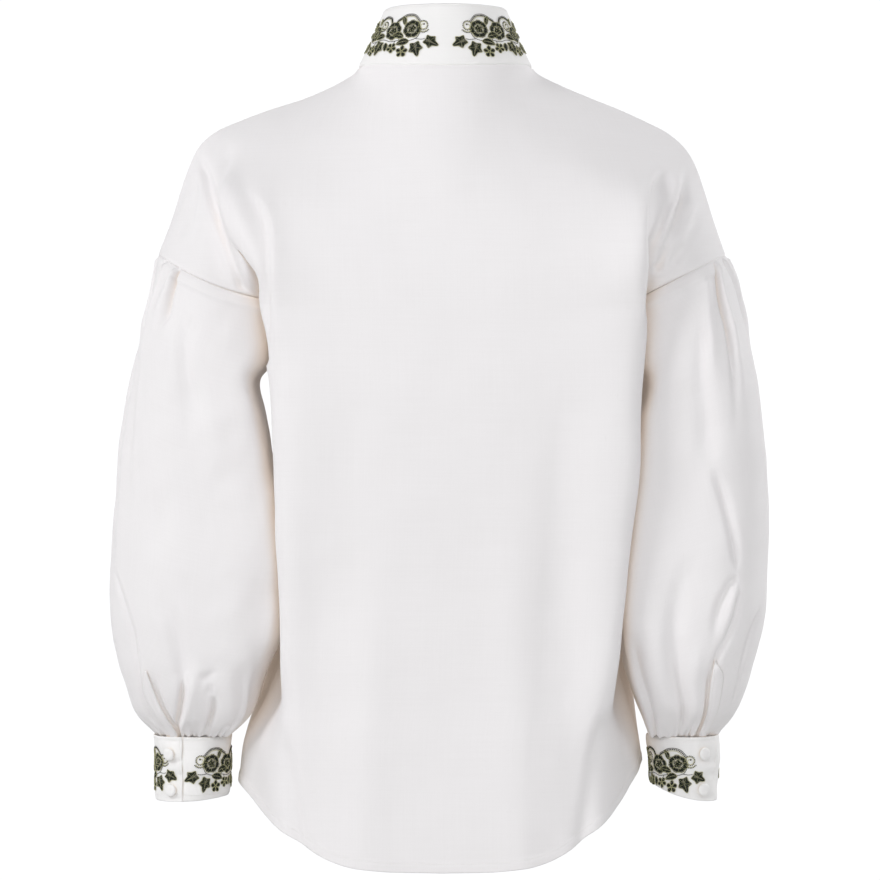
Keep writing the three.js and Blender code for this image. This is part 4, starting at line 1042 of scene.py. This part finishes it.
def make_placket(front_left, front_right):
    """The strip over the join of the fronts, from collar to hem."""
    x = np.linspace(PLACKET["half_width"], -PLACKET["half_width"], PLACKET_COLUMNS)
    reach = 60  # how far from the middle the fronts are looked at
    rows = []
    for left, right in zip(front_left.grid, front_right.grid):
        line = np.concatenate([left[left[:, 0] < reach][:-1], right[right[:, 0] > -reach]])
        line = line[np.argsort(-line[:, 0])]
        rows.append(np.column_stack([x, read_line(-x, -line[:, 0], line[:, 1:])]))
    base = np.array(rows)
    edge = np.minimum(distances(base)[0], distances(base)[1])
    lift = LAYER - 0.5 + dip(edge, 0.5, 0.8) + stitched(edge, 2.4) + ripple(base, 33, 30, 0.15)
    cloth = Cloth(raised(base, lift))
    return cloth, shell("front_placket_cloth", cloth, LINEN, CLOTH * FOLDED["placket"])


def collar_angles():
    """Angles round the neck from the collar's outer end, round the right, back and left, to its under end."""
    ends = neck_angle_at(PLACKET["half_width"]), 360 + neck_angle_at(-PLACKET["half_width"])
    return np.linspace(*ends, COLLAR_COLUMNS)


def make_collar():
    share = spaced(0, 1, 22, fine=(0, 1), reach=0.05, gain=1.8)
    share, angle = np.meshgrid(share, collar_angles(), indexing="ij")
    plain = mix(collar_top(angle), neckline(angle), share[..., None])
    lap = LAYER * 1.2 * (1 - ease(neck_angle_at(-PLACKET["half_width"]), 245, angle))
    left, right, top, _ = distances(plain)
    edge = np.minimum(np.minimum(left, right), top)
    lift = lap + 0.5 + dip(edge, 0.7, 1.2) + stitched(edge, 2.6, 0.14)
    lift = lift + ripples(plain, 41, (45, 0.5), (15, 0.08))
    cloth = Cloth(raised(plain, lift))
    sewn = Cloth(tucked(cloth.grid, -1, 1.6, 1.6))
    return cloth, shell("collar_cloth", sewn, FINE_LINEN, CLOTH * FOLDED["band"])


def slit_turn(name, v):
    return column(SLITS[name], "at", "turn", np.clip(v, SLITS[name]["at"][0], 1))


# Gathers above the cuff, from a least to a most: width, spacing and lean in degrees of turn, how far up the
# sleeve they run as a share of it, and depth. Beside the slit the cloth lies smooth.
GATHERS = dict(width=(1.7, 3.0), reach=(0.022, 0.065), depth=(1.5, 3.0), lean=(-90, 90), spacing=(6.0, 11.5))
SMOOTH_SLIT = dict(beside=8, from_turn=10, to_turn=18)


def gathers(name, turn, v, seed):
    """Small gathers that run up from the cuff, uneven in length, depth and spacing."""
    random = np.random.default_rng(seed)
    lift = np.zeros_like(turn)
    slit = SLITS[name]["turn"][-1] - SMOOTH_SLIT["beside"]
    place = -180.0
    while place < 176:
        keys = ("width", "reach", "depth", "lean")
        width, reach, depth, lean = (random.uniform(*GATHERS[key]) for key in keys)
        away = turned_past(turn - lean * (1 - v), place)
        clear = ease(SMOOTH_SLIT["from_turn"], SMOOTH_SLIT["to_turn"], abs(turned_past(place, slit)))
        lift -= depth * clear * bell(away / width) * ease(1 - reach, 1, v)
        place += random.uniform(*GATHERS["spacing"])
    return lift


# The groove beside the slit, in degrees of turn, and the inner seam of the sleeve.
SLIT_GROOVE = dict(depth=3.6, middle=2.4, width=2.4)
SLEEVE_SEAM = dict(turn=172, depth=0.5, width=1.2)
SLEEVE_FINE = [-60, -34, 2, 32, 54, 62, 76, 84, 108, 131]  # turns at which the folds need more columns
# where the seam allowance stands under the cloth
PRESSED = dict(outer=14, from_turn=24, to_turn=44, rise=2.0)


def make_sleeve(name):
    side = ARMS[name]["side"]
    turns = spaced(-180, 180, 211, fine=SLEEVE_FINE, reach=5.0, gain=1.3)[:-1][::-side]
    rows = spaced(0, 1, 146, fine=(0, 1), reach=0.04, gain=2.0)
    v, turn = np.meshgrid(rows, turns, indexing="ij")
    plain = sleeve_point(side, turn, v)
    down = distances(plain)[2]
    lift = crease_lift(np.stack([turn, v], -1) * UNROLLED, SLEEVE_CREASES[name], UNROLLED)
    lift *= 1 - 0.6 * ease(0.95, 1, v)  # the cuff holds the folds in
    lift += gathers(name, turn, v, 51 + side)
    lift += ripple(plain, 61 + side, 70, 0.7) + ripple(plain, 63 + side, 26, 0.25)
    lift *= ease(0, 5, down)
    away = np.abs(turned_past(turn, PRESSED["outer"]))
    band = np.clip(down / SEAM_BAND, 0, 1) * (1 - ease(SEAM_BAND - 1, SEAM_BAND + 4, down))
    lift += dip(down, 0.6) + PRESSED["rise"] * band * ease(PRESSED["from_turn"], PRESSED["to_turn"], away)
    start = STRIP[name + "_start"]
    open_slit = ease(start - 0.005, start + 0.05, v) * (1 - ease(0.99, 1.01, v))
    beside = turn - slit_turn(name, v) - SLIT_GROOVE["middle"]
    lift += dip(beside, SLIT_GROOVE["depth"], SLIT_GROOVE["width"]) * open_slit
    lift += dip(turn - SLEEVE_SEAM["turn"], SLEEVE_SEAM["depth"], SLEEVE_SEAM["width"])
    grid = raised(plain, lift, closed=True)
    sewn = tucked(tucked(grid, 1, 1.8, 1.2, True), -1, 3.0, 1.5, True)
    piece = shell(f"sleeve_{name}_cloth", Cloth(sewn, closed=True), LINEN)
    return Cloth(grid, closed=True), turns, rows, piece


def make_strip(name, sleeve, turns, rows):
    """The placket of the sleeve: a narrow strip with a pointed end, beside the slit, down to the cuff."""
    side = ARMS[name]["side"]
    order = np.argsort(turns)
    v = np.linspace(STRIP[name + "_start"], 1.0, 60)
    row = np.interp(v, rows, np.arange(len(rows)))
    slit = np.interp(slit_turn(name, v), turns[order], order)
    near = sleeve.at(row, slit)[0]
    per_column = np.linalg.norm(sleeve.at(row, slit + side)[0] - near, axis=-1)
    narrow = mix(0.14, 1, ease(0, STRIP["point"], run_of(near)) ** 0.8)
    across = np.linspace(0, 1, 11)
    columns = slit[:, None] + side * STRIP["width"] * across * (narrow / per_column)[:, None]
    edge = np.minimum(across, 1 - across) * STRIP["width"]
    lift = 2.0 + dip(edge, 0.8, 0.9) + stitched(edge, 1.8, 0.2) + 0 * columns
    cloth = Cloth(sleeve.at(row[:, None], columns[:, ::side], lift)[0])
    return cloth, shell(f"sleeve_placket_{name}_cloth", cloth, LINEN, CLOTH * FOLDED["strip"])


# Folds that the buttons pull across a cuff: a share down it, how far they reach in degrees, and their depth.
CUFF_PULLS = [(0.06, 30, 1.1), (0.38, 34, 1.6), (0.60, 26, 1.3), (0.95, 30, 1.1)]
PULL = dict(width=0.045, from_turn=10)


def make_cuff(name):
    """The cuff runs once round the wrist and laps over itself."""
    arm = ARMS[name]
    side, key = arm["side"], name[0].upper()
    out, inner = SLEEVE["out" + key][-1], SLEEVE["in" + key][-1]
    run = np.linspace(0, 360 + CUFF["overlap"], 190)
    share = spaced(0, 1, 32, fine=(0, 1), reach=0.04, gain=1.8)
    share, run = np.meshgrid(share, run, indexing="ij")
    angle = np.radians(arm["flap"] - side * run)
    lap = LAYER * 1.1 * (1 - ease(CUFF["overlap"], CUFF["overlap"] + CUFF["fade"], run))
    wider = lap - CUFF["taper"] * share
    inward = ((1 - np.cos(angle)) / 2) ** 2
    plain = point(
        side * ((out + inner) / 2 + ((out - inner) / 2 + wider) * np.cos(angle)),
        (SLEEVE["depth"][-1] + wider) * np.sin(angle),
        SLEEVE["outZ"][-1] - 0.3 - (CUFF["height"] - arm["inner_lift"] * inward) * share,
    )
    edge = np.minimum.reduce(distances(plain))
    lift = 1.1 + dip(edge, 0.6, 0.9) + stitched(edge, 2.4, 0.18)
    lift += ripple(plain, 71 + side, 26, 0.8) + ripple(plain, 73 + side, 12, 0.12)
    for at, reach, depth in CUFF_PULLS:
        lift += dip(share - at, depth, PULL["width"]) * bell((run - PULL["from_turn"]) / reach)
    cloth = Cloth(raised(plain, lift))
    return cloth, shell(f"cuff_{name}_cloth", cloth, FINE_LINEN, CLOTH * FOLDED["band"])


# A button's outline from its back to the top of its dome, in radii and heights, at even steps.
BUTTON_OUT = [0.0, 0.8, 1.0, 0.9, 0.5, 0.0]
BUTTON_UP = [0.02, 0.0, 0.34, 0.74, 0.96, 1.0]
BUTTON_GATHERS = dict(count=9, depth=0.012)


def make_button(name, place, out):
    """A domed button covered in linen, with the cloth drawn in under its rim."""
    rings, sides = 17, 40
    at = np.linspace(0, 1, rings)
    knots = np.linspace(0, 1, len(BUTTON_OUT))
    outs = smooth(knots, BUTTON_OUT, at) * BUTTON["radius"]
    ups = smooth(knots, BUTTON_UP, at) * BUTTON["height"]
    turns = np.linspace(0, 2 * math.pi, sides, endpoint=False)
    first = unit(np.cross(out, [0.13, 0.21, 0.97]))
    second = np.cross(out, first)
    ruffle = BUTTON_GATHERS["depth"] * np.cos(BUTTON_GATHERS["count"] * turns)[None]
    pull = 1 + ruffle * np.sin(math.pi * at)[:, None]
    ring = np.cos(turns)[:, None] * first + np.sin(turns)[:, None] * second
    points = place + ring[None] * (outs[:, None] * pull)[..., None] + out * ups[:, None, None]
    flat = np.stack([points @ first, points @ second], -1).reshape(-1, 2)
    near = np.arange(rings * sides).reshape(rings, sides)
    near[[0, -1]] = near[[0, -1], :1]
    far = np.roll(near, -1, 1)
    faces = np.stack([near[:-1], far[:-1], far[1:], near[1:]], -1).reshape(-1, 4)
    return make_mesh(name, points.reshape(-1, 3), faces, [FINE_LINEN], uvs=flat[faces])


# ---- Embroidery: leaves, flowers, curls and buds in satin stitch, with pale outlines ----
SATIN = dict(pitch=0.52, half_width=0.34, height=0.3, lift=0.35, rise=0.35, uneven=0.08, shortest=0.5)
OUTLINE = dict(stitch=1.5, gap=-0.25, half_width=0.29, height=0.3)
GREEN, PALE = 0, 1  # the threads
OVER = 0.8  # how far over the cloth a line lies that crosses satin stitch
LOBES_AT = 0.42  # how far along a leaf its lobes spread from, as a share of its size


def turned(points, degrees):
    c, s = math.cos(math.radians(degrees)), math.sin(math.radians(degrees))
    return np.asarray(points) @ np.array([[c, s], [-s, c]])


def wheel(turns):
    """Points on a circle of radius one."""
    return np.stack([np.cos(turns), np.sin(turns)], -1)


def lens(length, width, bend=0.0):
    """The vein of a pointed leaf, from its stem to its tip, and the outlines of its two halves."""
    t = np.linspace(0, 1, 12)
    vein = np.stack([t * length, bend * length * np.sin(math.pi * t)], -1)
    swell = np.stack([0 * t, np.sin(math.pi * t**0.85) ** 0.8 * width / 2], -1)
    return vein, vein + swell, vein - swell


def lobed(size):
    """The vein of a leaf of five pointed lobes, from its stem to its tip, and its two halves."""
    angle = np.radians(np.linspace(180, 0, 36))
    radius = 0.35 + 0.15 * (1 - np.abs(np.sin(2.5 * angle))) ** 0.9 + 0.15 * bell(angle / 0.36)
    upper = (wheel(angle) * radius[:, None] + [LOBES_AT, 0]) * size
    vein = np.stack([np.linspace(0.05, 0.95, 8) * size, np.zeros(8)], -1)
    return vein, upper, upper * [1, -1]


def scan(outline, degrees):
    """Parallel lines that fill an outline, as pairs of ends."""
    a = turned(outline, -degrees)
    b = np.roll(a, -1, 0)
    ends = []
    for y in np.arange(a[:, 1].min() + SATIN["pitch"] / 2, a[:, 1].max(), SATIN["pitch"]):
        cross = (a[:, 1] <= y) != (b[:, 1] <= y)
        start, end = a[cross], b[cross]
        x = np.sort(start[:, 0] + (y - start[:, 1]) / (end[:, 1] - start[:, 1]) * (end[:, 0] - start[:, 0]))
        for low, high in zip(x[::2], x[1::2]):
            if high - low > SATIN["shortest"]:
                ends.append(((low, y), (high, y)))
    return turned(np.array(ends).reshape(-1, 2), degrees).reshape(-1, 2, 2)


class Sprig:
    """A place on a cloth where motifs are stitched: a start along it, a direction and a middle line."""

    def __init__(self, work, cloth, start, direction, middle, scale=1.0):
        self.work, self.cloth, self.scale = work, cloth, scale
        self.start, self.direction, self.middle = start, direction, middle

    def lay(self, points, out):
        along = self.start + self.direction * points[..., 0] * self.scale
        down = self.middle - points[..., 1] * self.scale
        return self.cloth.place(along, down, out)

    def satin(self, shape, at, degrees, slant=90):
        """Fills a shape, turned and moved to its place, with stitches at a slant."""
        ends = scan(turned(shape, degrees) + at, degrees + slant)
        ends = ends + self.work.random.uniform(-SATIN["uneven"], SATIN["uneven"], ends.shape)
        t = np.linspace(0, 1, 3)
        line = mix(ends[:, :1], ends[:, 1:], t[None, :, None])
        out = SATIN["lift"] + SATIN["rise"] * np.sin(math.pi * t)[None] ** 0.7 + 0 * line[..., 0]
        points, outs = self.lay(line, out)
        self.work.threads(points, outs, SATIN["half_width"], SATIN["height"], GREEN)

    def outline(self, path, at=(0, 0), degrees=0, kind=PALE, closed=True, out=0.62, **given):
        """A line of stitches along a path, turned and moved to its place."""
        size = {**OUTLINE, **given}
        path = turned(path, degrees) + at
        if closed:
            path = np.concatenate([path, path[:1]])
        run = run_of(path)
        number = max(int(run[-1] / (size["stitch"] + size["gap"])), 2)
        middle = (np.arange(number) + 0.5) * run[-1] / number
        wanted = middle[:, None] + np.linspace(-0.5, 0.5, 3) * size["stitch"]
        points, outs = self.lay(read_line(np.clip(wanted, 0, run[-1]), run, path), out)
        self.work.threads(points, outs, size["half_width"], size["height"], kind)

    def ray(self, start, end, at, degrees, out=0.62, half_width=0.18):
        self.outline([start, end], at, degrees, closed=False, out=out, half_width=half_width)

    def knots(self, centres, radius, kind=GREEN, out=0.35):
        self.work.knots(*self.lay(centres, out), radius, kind)

    def leaf(self, at, degrees, vein, upper, lower):
        """A leaf of two halves, stitched slantwise from its vein."""
        for half, slant in ((upper, 52), (lower, -52)):
            self.satin(np.concatenate([half, vein[-2:0:-1]]), at, degrees, slant)
        self.outline(np.concatenate([upper, lower[-2:0:-1]]), at, degrees)
        self.outline(vein[1:-1], at, degrees, closed=False, out=OVER, half_width=0.18)

    def pointed(self, at, size, degrees):
        self.leaf(at, degrees, *lens(size, size * 0.5, 0.08))

    def ivy(self, at, size, degrees):
        self.leaf(at, degrees, *lobed(size))
        for lobe in (-144, -72, 72, 144):
            start, end = turned([(0.06, 0), (0.38, 0)], lobe) * size + [LOBES_AT * size, 0]
            self.ray(start, end, at, degrees, OVER, 0.16)

    def bud(self, at, size, degrees):
        _, upper, lower = lens(size, size * 0.62)
        edge = np.concatenate([upper, lower[-2:0:-1]])
        self.satin(edge, at, degrees)
        self.outline(edge, at, degrees)

    def flower(self, at, size, degrees):
        """Five round petals about an open middle."""
        t = np.linspace(0, 2 * math.pi, 16, endpoint=False)
        notch = 1 + 0.10 * np.cos(2 * t) - 0.16 * (bell(t / 0.5) + bell((t - 2 * math.pi) / 0.5))
        petal = np.stack([0.62 + 0.40 * np.cos(t) * notch, 0.36 * np.sin(t) * (1 + 0.2 * np.cos(t))], -1)
        for angle in degrees + np.arange(5) * 72:
            self.satin(petal * size, at, angle)
            self.outline(petal * size, at, angle)
        self.outline(wheel(t) * size * 0.17, at, out=OVER)
        self.knots(at[None], 0.5, out=0.6)

    def rosette(self, at, size, degrees):
        """A full flower: ruffled petals round a ring of smaller ones."""
        petals = 7

        def rim(angle, reach):
            ruffle = 1 + 0.13 * np.abs(np.sin(petals * angle / 2)) + 0.04 * np.cos(3 * petals * angle)
            return wheel(angle) * ruffle[:, None] * [1, 0.92] * size * reach

        turns = np.linspace(0, 2 * math.pi, 84, endpoint=False)
        for k in range(petals):
            arc = np.linspace(k, k + 1, 13) * 2 * math.pi / petals
            petal = np.concatenate([rim(arc, 0.9), rim(arc[::-1], 0.46)])
            self.satin(petal, at, degrees, math.degrees(arc[6]))
            self.ray(rim(arc[:1], 0.52)[0], rim(arc[:1], 0.84)[0], at, degrees)
        self.outline(rim(turns, 0.92), at, degrees)
        inner = rim(turns + 0.3, 0.44) * (1 + 0.16 * np.cos(5 * turns))[:, None]
        self.satin(inner * 0.92, at, degrees, 30)
        self.outline(inner, at, degrees, out=OVER)
        self.knots(turned(wheel(turns[::17]) * size * 0.2, degrees) + at, 0.42, PALE, 0.9)

    def curl(self, at, size, degrees, hand):
        """A tendril that winds in, with knots along its outer edge."""
        t = np.linspace(0, 1, 60)
        rim = wheel(math.radians(degrees) + hand * t * 3.4 * math.pi)
        line = rim * (size * (1 - 0.72 * t))[:, None] + at
        self.outline(line, closed=False, half_width=0.34)
        run = run_of(line)
        last_knotted = 44
        dots = np.arange(0, run[last_knotted], 1.25)
        self.knots(read_line(dots, run, line + rim * 0.75), 0.5)
        self.knots(line[-1:], 0.8)

    def stem(self, path):
        self.outline(curve_through(path, 40), kind=GREEN, closed=False, out=0.3, half_width=0.32, stitch=1.8)

    def dotted(self, path, count=22):
        """An arch of knots between a pale line and a green one."""
        line = curve_through(path, count)
        self.knots(line, 0.62)
        along = unit(np.gradient(line, axis=0))
        beside = np.stack([along[:, 1], -along[:, 0]], -1) * 1.15
        self.outline(line + beside, closed=False)
        self.outline(line - beside, kind=GREEN, closed=False)


# The motifs of a spray: how far each is from its inner end, how high over its middle line, its size and
# turn in degrees, and the hand of a curl.
SPRAY = [
    ("curl", (12.0, 8.5), 5.5, 215, 1),
    ("ivy", (9.5, -3.0), 12.5, 208),
    ("rosette", (22.5, 6.0), 8.6, 10),
    ("ivy", (18.5, -6.0), 13.0, 252),
    ("pointed", (23.5, -5.0), 12.5, -14),
    ("pointed", (29.5, -1.0), 12.0, 8),
    ("flower", (28.5, -14.5), 5.2, 18),
    ("pointed", (30.5, 10.0), 9.0, 64),
    ("flower", (39.0, -11.0), 4.6, 50),
    ("rosette", (42.0, 5.0), 8.8, 35),
    ("bud", (46.5, -6.0), 8.0, 262),
    ("ivy", (53.0, -4.5), 12.5, 285),
    ("curl", (56.5, 10.5), 4.8, -20, -1),
    ("pointed", (50.5, 0.5), 12.0, -12),
    ("flower", (63.5, -12.5), 5.0, 40),
    ("rosette", (66.5, 3.5), 7.8, 0),
    ("pointed", (64.5, 11.0), 8.0, 74),
    ("ivy", (71.0, 9.5), 11.0, 32),
    ("ivy", (70.5, -5.5), 11.5, -42),
    ("pointed", (74.0, 2.5), 10.0, 4),
]
STEMS = [
    [(14, 4), (17, -2), (24, -4.5), (33, -4), (42, -5), (50, -3), (58, -4), (66, -5), (72, -2)],
    [(9.5, -3), (13, -3.5), (18, -3)],
    [(27, -5), (28.5, -8), (28.5, -10)],
    [(37, -4.5), (38.5, -7), (39, -8)],
    [(59, -4), (62, -7), (63, -9)],
    [(33, -4), (36, -1), (38, 1)],
]
ARCHES = [
    [(15.5, 12.0), (21, 17.5), (29, 18.5), (36, 15.5), (40, 13.5)],
    [(47, 13.0), (50, 17.0), (57, 18.5), (63, 16.0)],
]

SPRAY_MIDDLE = 29.5  # how far below the upper edge of a collar or cuff the middle line of a spray lies
BACK_GAP = 8  # how far from the centre back the collar's sprays begin
FRONT_GAP, FRONT_SCALE = 20, 0.94  # how far from the collar's ends, and how large the sprays are there


def stitch_spray(work, cloth, start, direction, scale=1.0):
    sprig = Sprig(work, cloth, start, direction, SPRAY_MIDDLE, scale)
    for path in STEMS:
        sprig.stem(path)
    for arch in ARCHES:
        sprig.dotted(arch)
    for motif, at, *shape in SPRAY:
        getattr(sprig, motif)(np.array(at), *shape)


def embroider_collar(collar):
    work = Needlework(81)
    centre = np.interp(360, collar_angles(), collar.along)
    for direction, front in ((-1, FRONT_GAP), (1, collar.along[-1] - FRONT_GAP)):
        stitch_spray(work, collar, centre + direction * BACK_GAP, direction)
        stitch_spray(work, collar, front, -direction, FRONT_SCALE)
    return work.build("collar_embroidery", [GREEN_THREAD, PALE_THREAD])


def embroider_cuff(name, cuff):
    arm, total = ARMS[name], cuff.along[-1]
    work = Needlework(85 + arm["side"])
    under = total * CUFF["overlap"] / (360 + CUFF["overlap"]) + arm["under_spray"]
    stitch_spray(work, cuff, arm["flap_spray"], 1)
    stitch_spray(work, cuff, total - under, -1)
    return work.build(f"cuff_{name}_embroidery", [GREEN_THREAD, PALE_THREAD])


# ---- Topstitching ----
SEAM_STITCH = dict(stitch=2.3, gap=0.7, half_width=0.19, height=0.16)
# how far inside the edges of each piece its stitches run
STRIP_INSETS = dict(front_placket=1.9, sleeve_placket_left=1.4, sleeve_placket_right=1.4)
BORDER_INSET = 2.6


def stitch_hem(work, cloth):
    columns = np.linspace(0.5, cloth.grid.shape[1] - 1.5, 240)
    inset = HEM_BAND["width"] - HEM_BAND["stitch"]
    downs = cloth.down[:, columns.astype(int)].T
    rows = [np.interp(down[-1] - inset, down, np.arange(len(down))) for down in downs]
    work.line(cloth, np.column_stack([rows, columns]), rows=True, **SEAM_STITCH)


def stitch_strip(work, cloth, inset):
    inset = inset / np.linalg.norm(cloth.grid[-1, 1] - cloth.grid[-1, 0])
    rows = np.linspace(1, len(cloth.grid) - 1.5, 200)
    for column in (inset, cloth.grid.shape[1] - 1 - inset):
        work.line(cloth, np.column_stack([rows, np.full_like(rows, column)]), rows=True, **SEAM_STITCH)


def stitch_border(work, cloth, downs):
    last = cloth.along[-1] - BORDER_INSET
    for down in downs:
        work.line(cloth, [(a, down) for a in np.linspace(BORDER_INSET, last, 200)], **SEAM_STITCH)
    for along in (BORDER_INSET, last):
        lowest = cloth.down[-1].min() - BORDER_INSET
        work.line(cloth, [(along, d) for d in np.linspace(BORDER_INSET, lowest, 20)], **SEAM_STITCH)


def topstitch(cloths):
    work = Needlework(91)
    for node in ("back", "front_left", "front_right"):
        stitch_hem(work, cloths[node])
    for node, inset in STRIP_INSETS.items():
        stitch_strip(work, cloths[node], inset)
    stitch_border(work, cloths["collar"], [BORDER_INSET])
    for node in ("cuff_left", "cuff_right"):
        stitch_border(work, cloths[node], [BORDER_INSET, cloths[node].down[-1].min() - BORDER_INSET])
    return work.build("topstitching", [SEWING_THREAD])


# ---- Sewing the shirt together ----
MEASURED = dict(cuff=5, collar=8)  # the column down which the height of a button is measured
cloths, pieces, buttons = {}, {}, {}


def row_at(cloth, share, column):
    """The row at a share of the way down a column."""
    down = cloth.down[:, column]
    return np.interp(share * down[-1], down, np.arange(len(down)))


def place_button(name, node, row, column):
    place, out = cloths[node].at(row, column, BUTTON["lift"])
    buttons[name] = make_button(name + "_covered", place, out)


cloths["back"], pieces["back"] = make_back()
for name in ARMS:
    cloths[f"front_{name}"], pieces[f"front_{name}"] = make_front(name)
cloths["front_placket"], pieces["front_placket"] = make_placket(cloths["front_left"], cloths["front_right"])
cloths["collar"], pieces["collar"] = make_collar()

for name, arm in ARMS.items():
    sleeve, turns, rows, pieces[f"sleeve_{name}"] = make_sleeve(name)
    node = f"sleeve_placket_{name}"
    cloths[node], pieces[node] = make_strip(name, sleeve, turns, rows)
    node = f"cuff_{name}"
    cloths[node], pieces[node] = make_cuff(name)
    beside = arm["button"] / (360 + CUFF["overlap"]) * (cloths[node].grid.shape[1] - 1)
    for i, share in enumerate(CUFF_BUTTONS):
        down = row_at(cloths[node], share, MEASURED["cuff"])
        place_button(f"cuff_button_{name}_{i + 1}", node, down, beside)

middle = PLACKET_COLUMNS // 2
heights = cloths["front_placket"].grid[:, middle, 2]
button_heights = np.linspace(FRONT_BUTTONS["first_z"], FRONT_BUTTONS["last_z"], FRONT_BUTTONS["count"])
for i, z in enumerate(button_heights):
    down = np.interp(-z, -heights, np.arange(len(heights)))
    place_button(f"front_button_{i + 1}", "front_placket", down, middle)
beside = np.interp(PLACKET["half_width"], cloths["collar"].along, np.arange(COLLAR_COLUMNS))
for i, share in enumerate(COLLAR_BUTTONS):
    down = row_at(cloths["collar"], share, MEASURED["collar"])
    place_button(f"collar_button_{i + 1}", "collar", down, beside)

topstitching = topstitch(cloths)
trims = {
    "collar_embroidery": embroider_collar(cloths["collar"]),
    "cuff_left_embroidery": embroider_cuff("left", cloths["cuff_left"]),
    "cuff_right_embroidery": embroider_cuff("right", cloths["cuff_right"]),
    "topstitching": topstitching,
}

for node, piece in {**pieces, **buttons}.items():
    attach(piece, "root")
    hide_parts(node)
for piece in trims.values():
    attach(piece, "root")

# ---- Stage, light and camera ----
# The camera looks level at the back. Its place, lens and sensor are in millimetres.
CAMERA = dict(x=6.16, distance=3000, z=-324, lens=139.46, sensor=36)
FLOOR_Z = -1450  # the floor under a person who stands in the shirt, in millimetres
# Its radius in metres, its sides, and the two colours of its grain.
FLOOR = dict(radius=3.4, sides=96, dark=(0.66, 0.66, 0.65, 1), light=(0.70, 0.70, 0.69, 1))
# Each lamp has a place and a width in metres, and its power.
LIGHTS = [
    ("key", (2.9, 2.2, 1.6), 1.5, 66),
    ("fill", (-2.9, 2.2, 1.2), 1.5, 22),
    ("behind", (0.3, 3.8, 1.2), 1.8, 39),
    ("front_key", (-2.9, -2.2, 1.6), 1.5, 66),
    ("front_fill", (2.9, -2.2, 1.2), 1.5, 22),
    ("before", (-0.3, -3.8, 1.2), 1.8, 39),
]
LIT = (0, 0, -0.33)  # where the lamps point
LIGHT_COLOUR = (0.985, 0.99, 1.0)
# The room's light by the height of a direction: bright up to the first height, and dim from the second on.
ROOM = dict(bright_to=0.145, dim_from=0.25, bright=1.06, dim=0.17)


def make_stage():
    finish = Finish(bpy.data.materials.new("pale_floor"))
    place = finish.node("ShaderNodeTexCoord", {}, {}, output=3)
    grain = finish.noise(place, 40.0, 4.0)
    material = finish.surface(base_color=finish.blend(grain, FLOOR["dark"], FLOOR["light"]), roughness=0.7)
    size = dict(vertices=FLOOR["sides"], radius=FLOOR["radius"], location=(0, 0, FLOOR_Z * MM))
    bpy.ops.mesh.primitive_circle_add(fill_type="NGON", **size)
    floor = bpy.context.object
    floor.name = "floor"
    floor.data.materials.append(material)


def soft_light(name, place, size, power):
    light = bpy.data.lights.new(name, "AREA")
    light.shape, light.size, light.energy = "DISK", size, power
    light.color = LIGHT_COLOUR
    lamp = placed(name, light)
    lamp.location = place
    lamp.rotation_euler = (Vector(LIT) - Vector(place)).to_track_quat("-Z", "Y").to_euler()


def make_light():
    world = bpy.data.worlds.new("studio")
    bpy.context.scene.world = world
    finish = Finish(world)
    height = finish.part(finish.node("ShaderNodeTexCoord"), 2).math("ABSOLUTE")
    values = {0: height, 1: ROOM["bright_to"], 2: ROOM["dim_from"], 3: ROOM["bright"], 4: ROOM["dim"]}
    band = finish.node("ShaderNodeMapRange", {"interpolation_type": "SMOOTHSTEP"}, values)
    glow = finish.node("ShaderNodeBackground", {}, {"Color": (*LIGHT_COLOUR, 1), "Strength": band})
    finish.node("ShaderNodeOutputWorld", {}, {"Surface": glow})
    for name, place, size, power in LIGHTS:
        soft_light(name, place, size, power)


def make_camera():
    lens = bpy.data.cameras.new("camera")
    lens.lens, lens.sensor_width = CAMERA["lens"], CAMERA["sensor"]
    camera = placed("camera", lens)
    camera.location = (CAMERA["x"] * MM, CAMERA["distance"] * MM, CAMERA["z"] * MM)
    camera.rotation_euler = (math.pi / 2, 0, math.pi)
    bpy.context.scene.camera = camera
    bpy.context.scene.view_settings.view_transform = "Standard"


make_stage()
make_light()
make_camera()
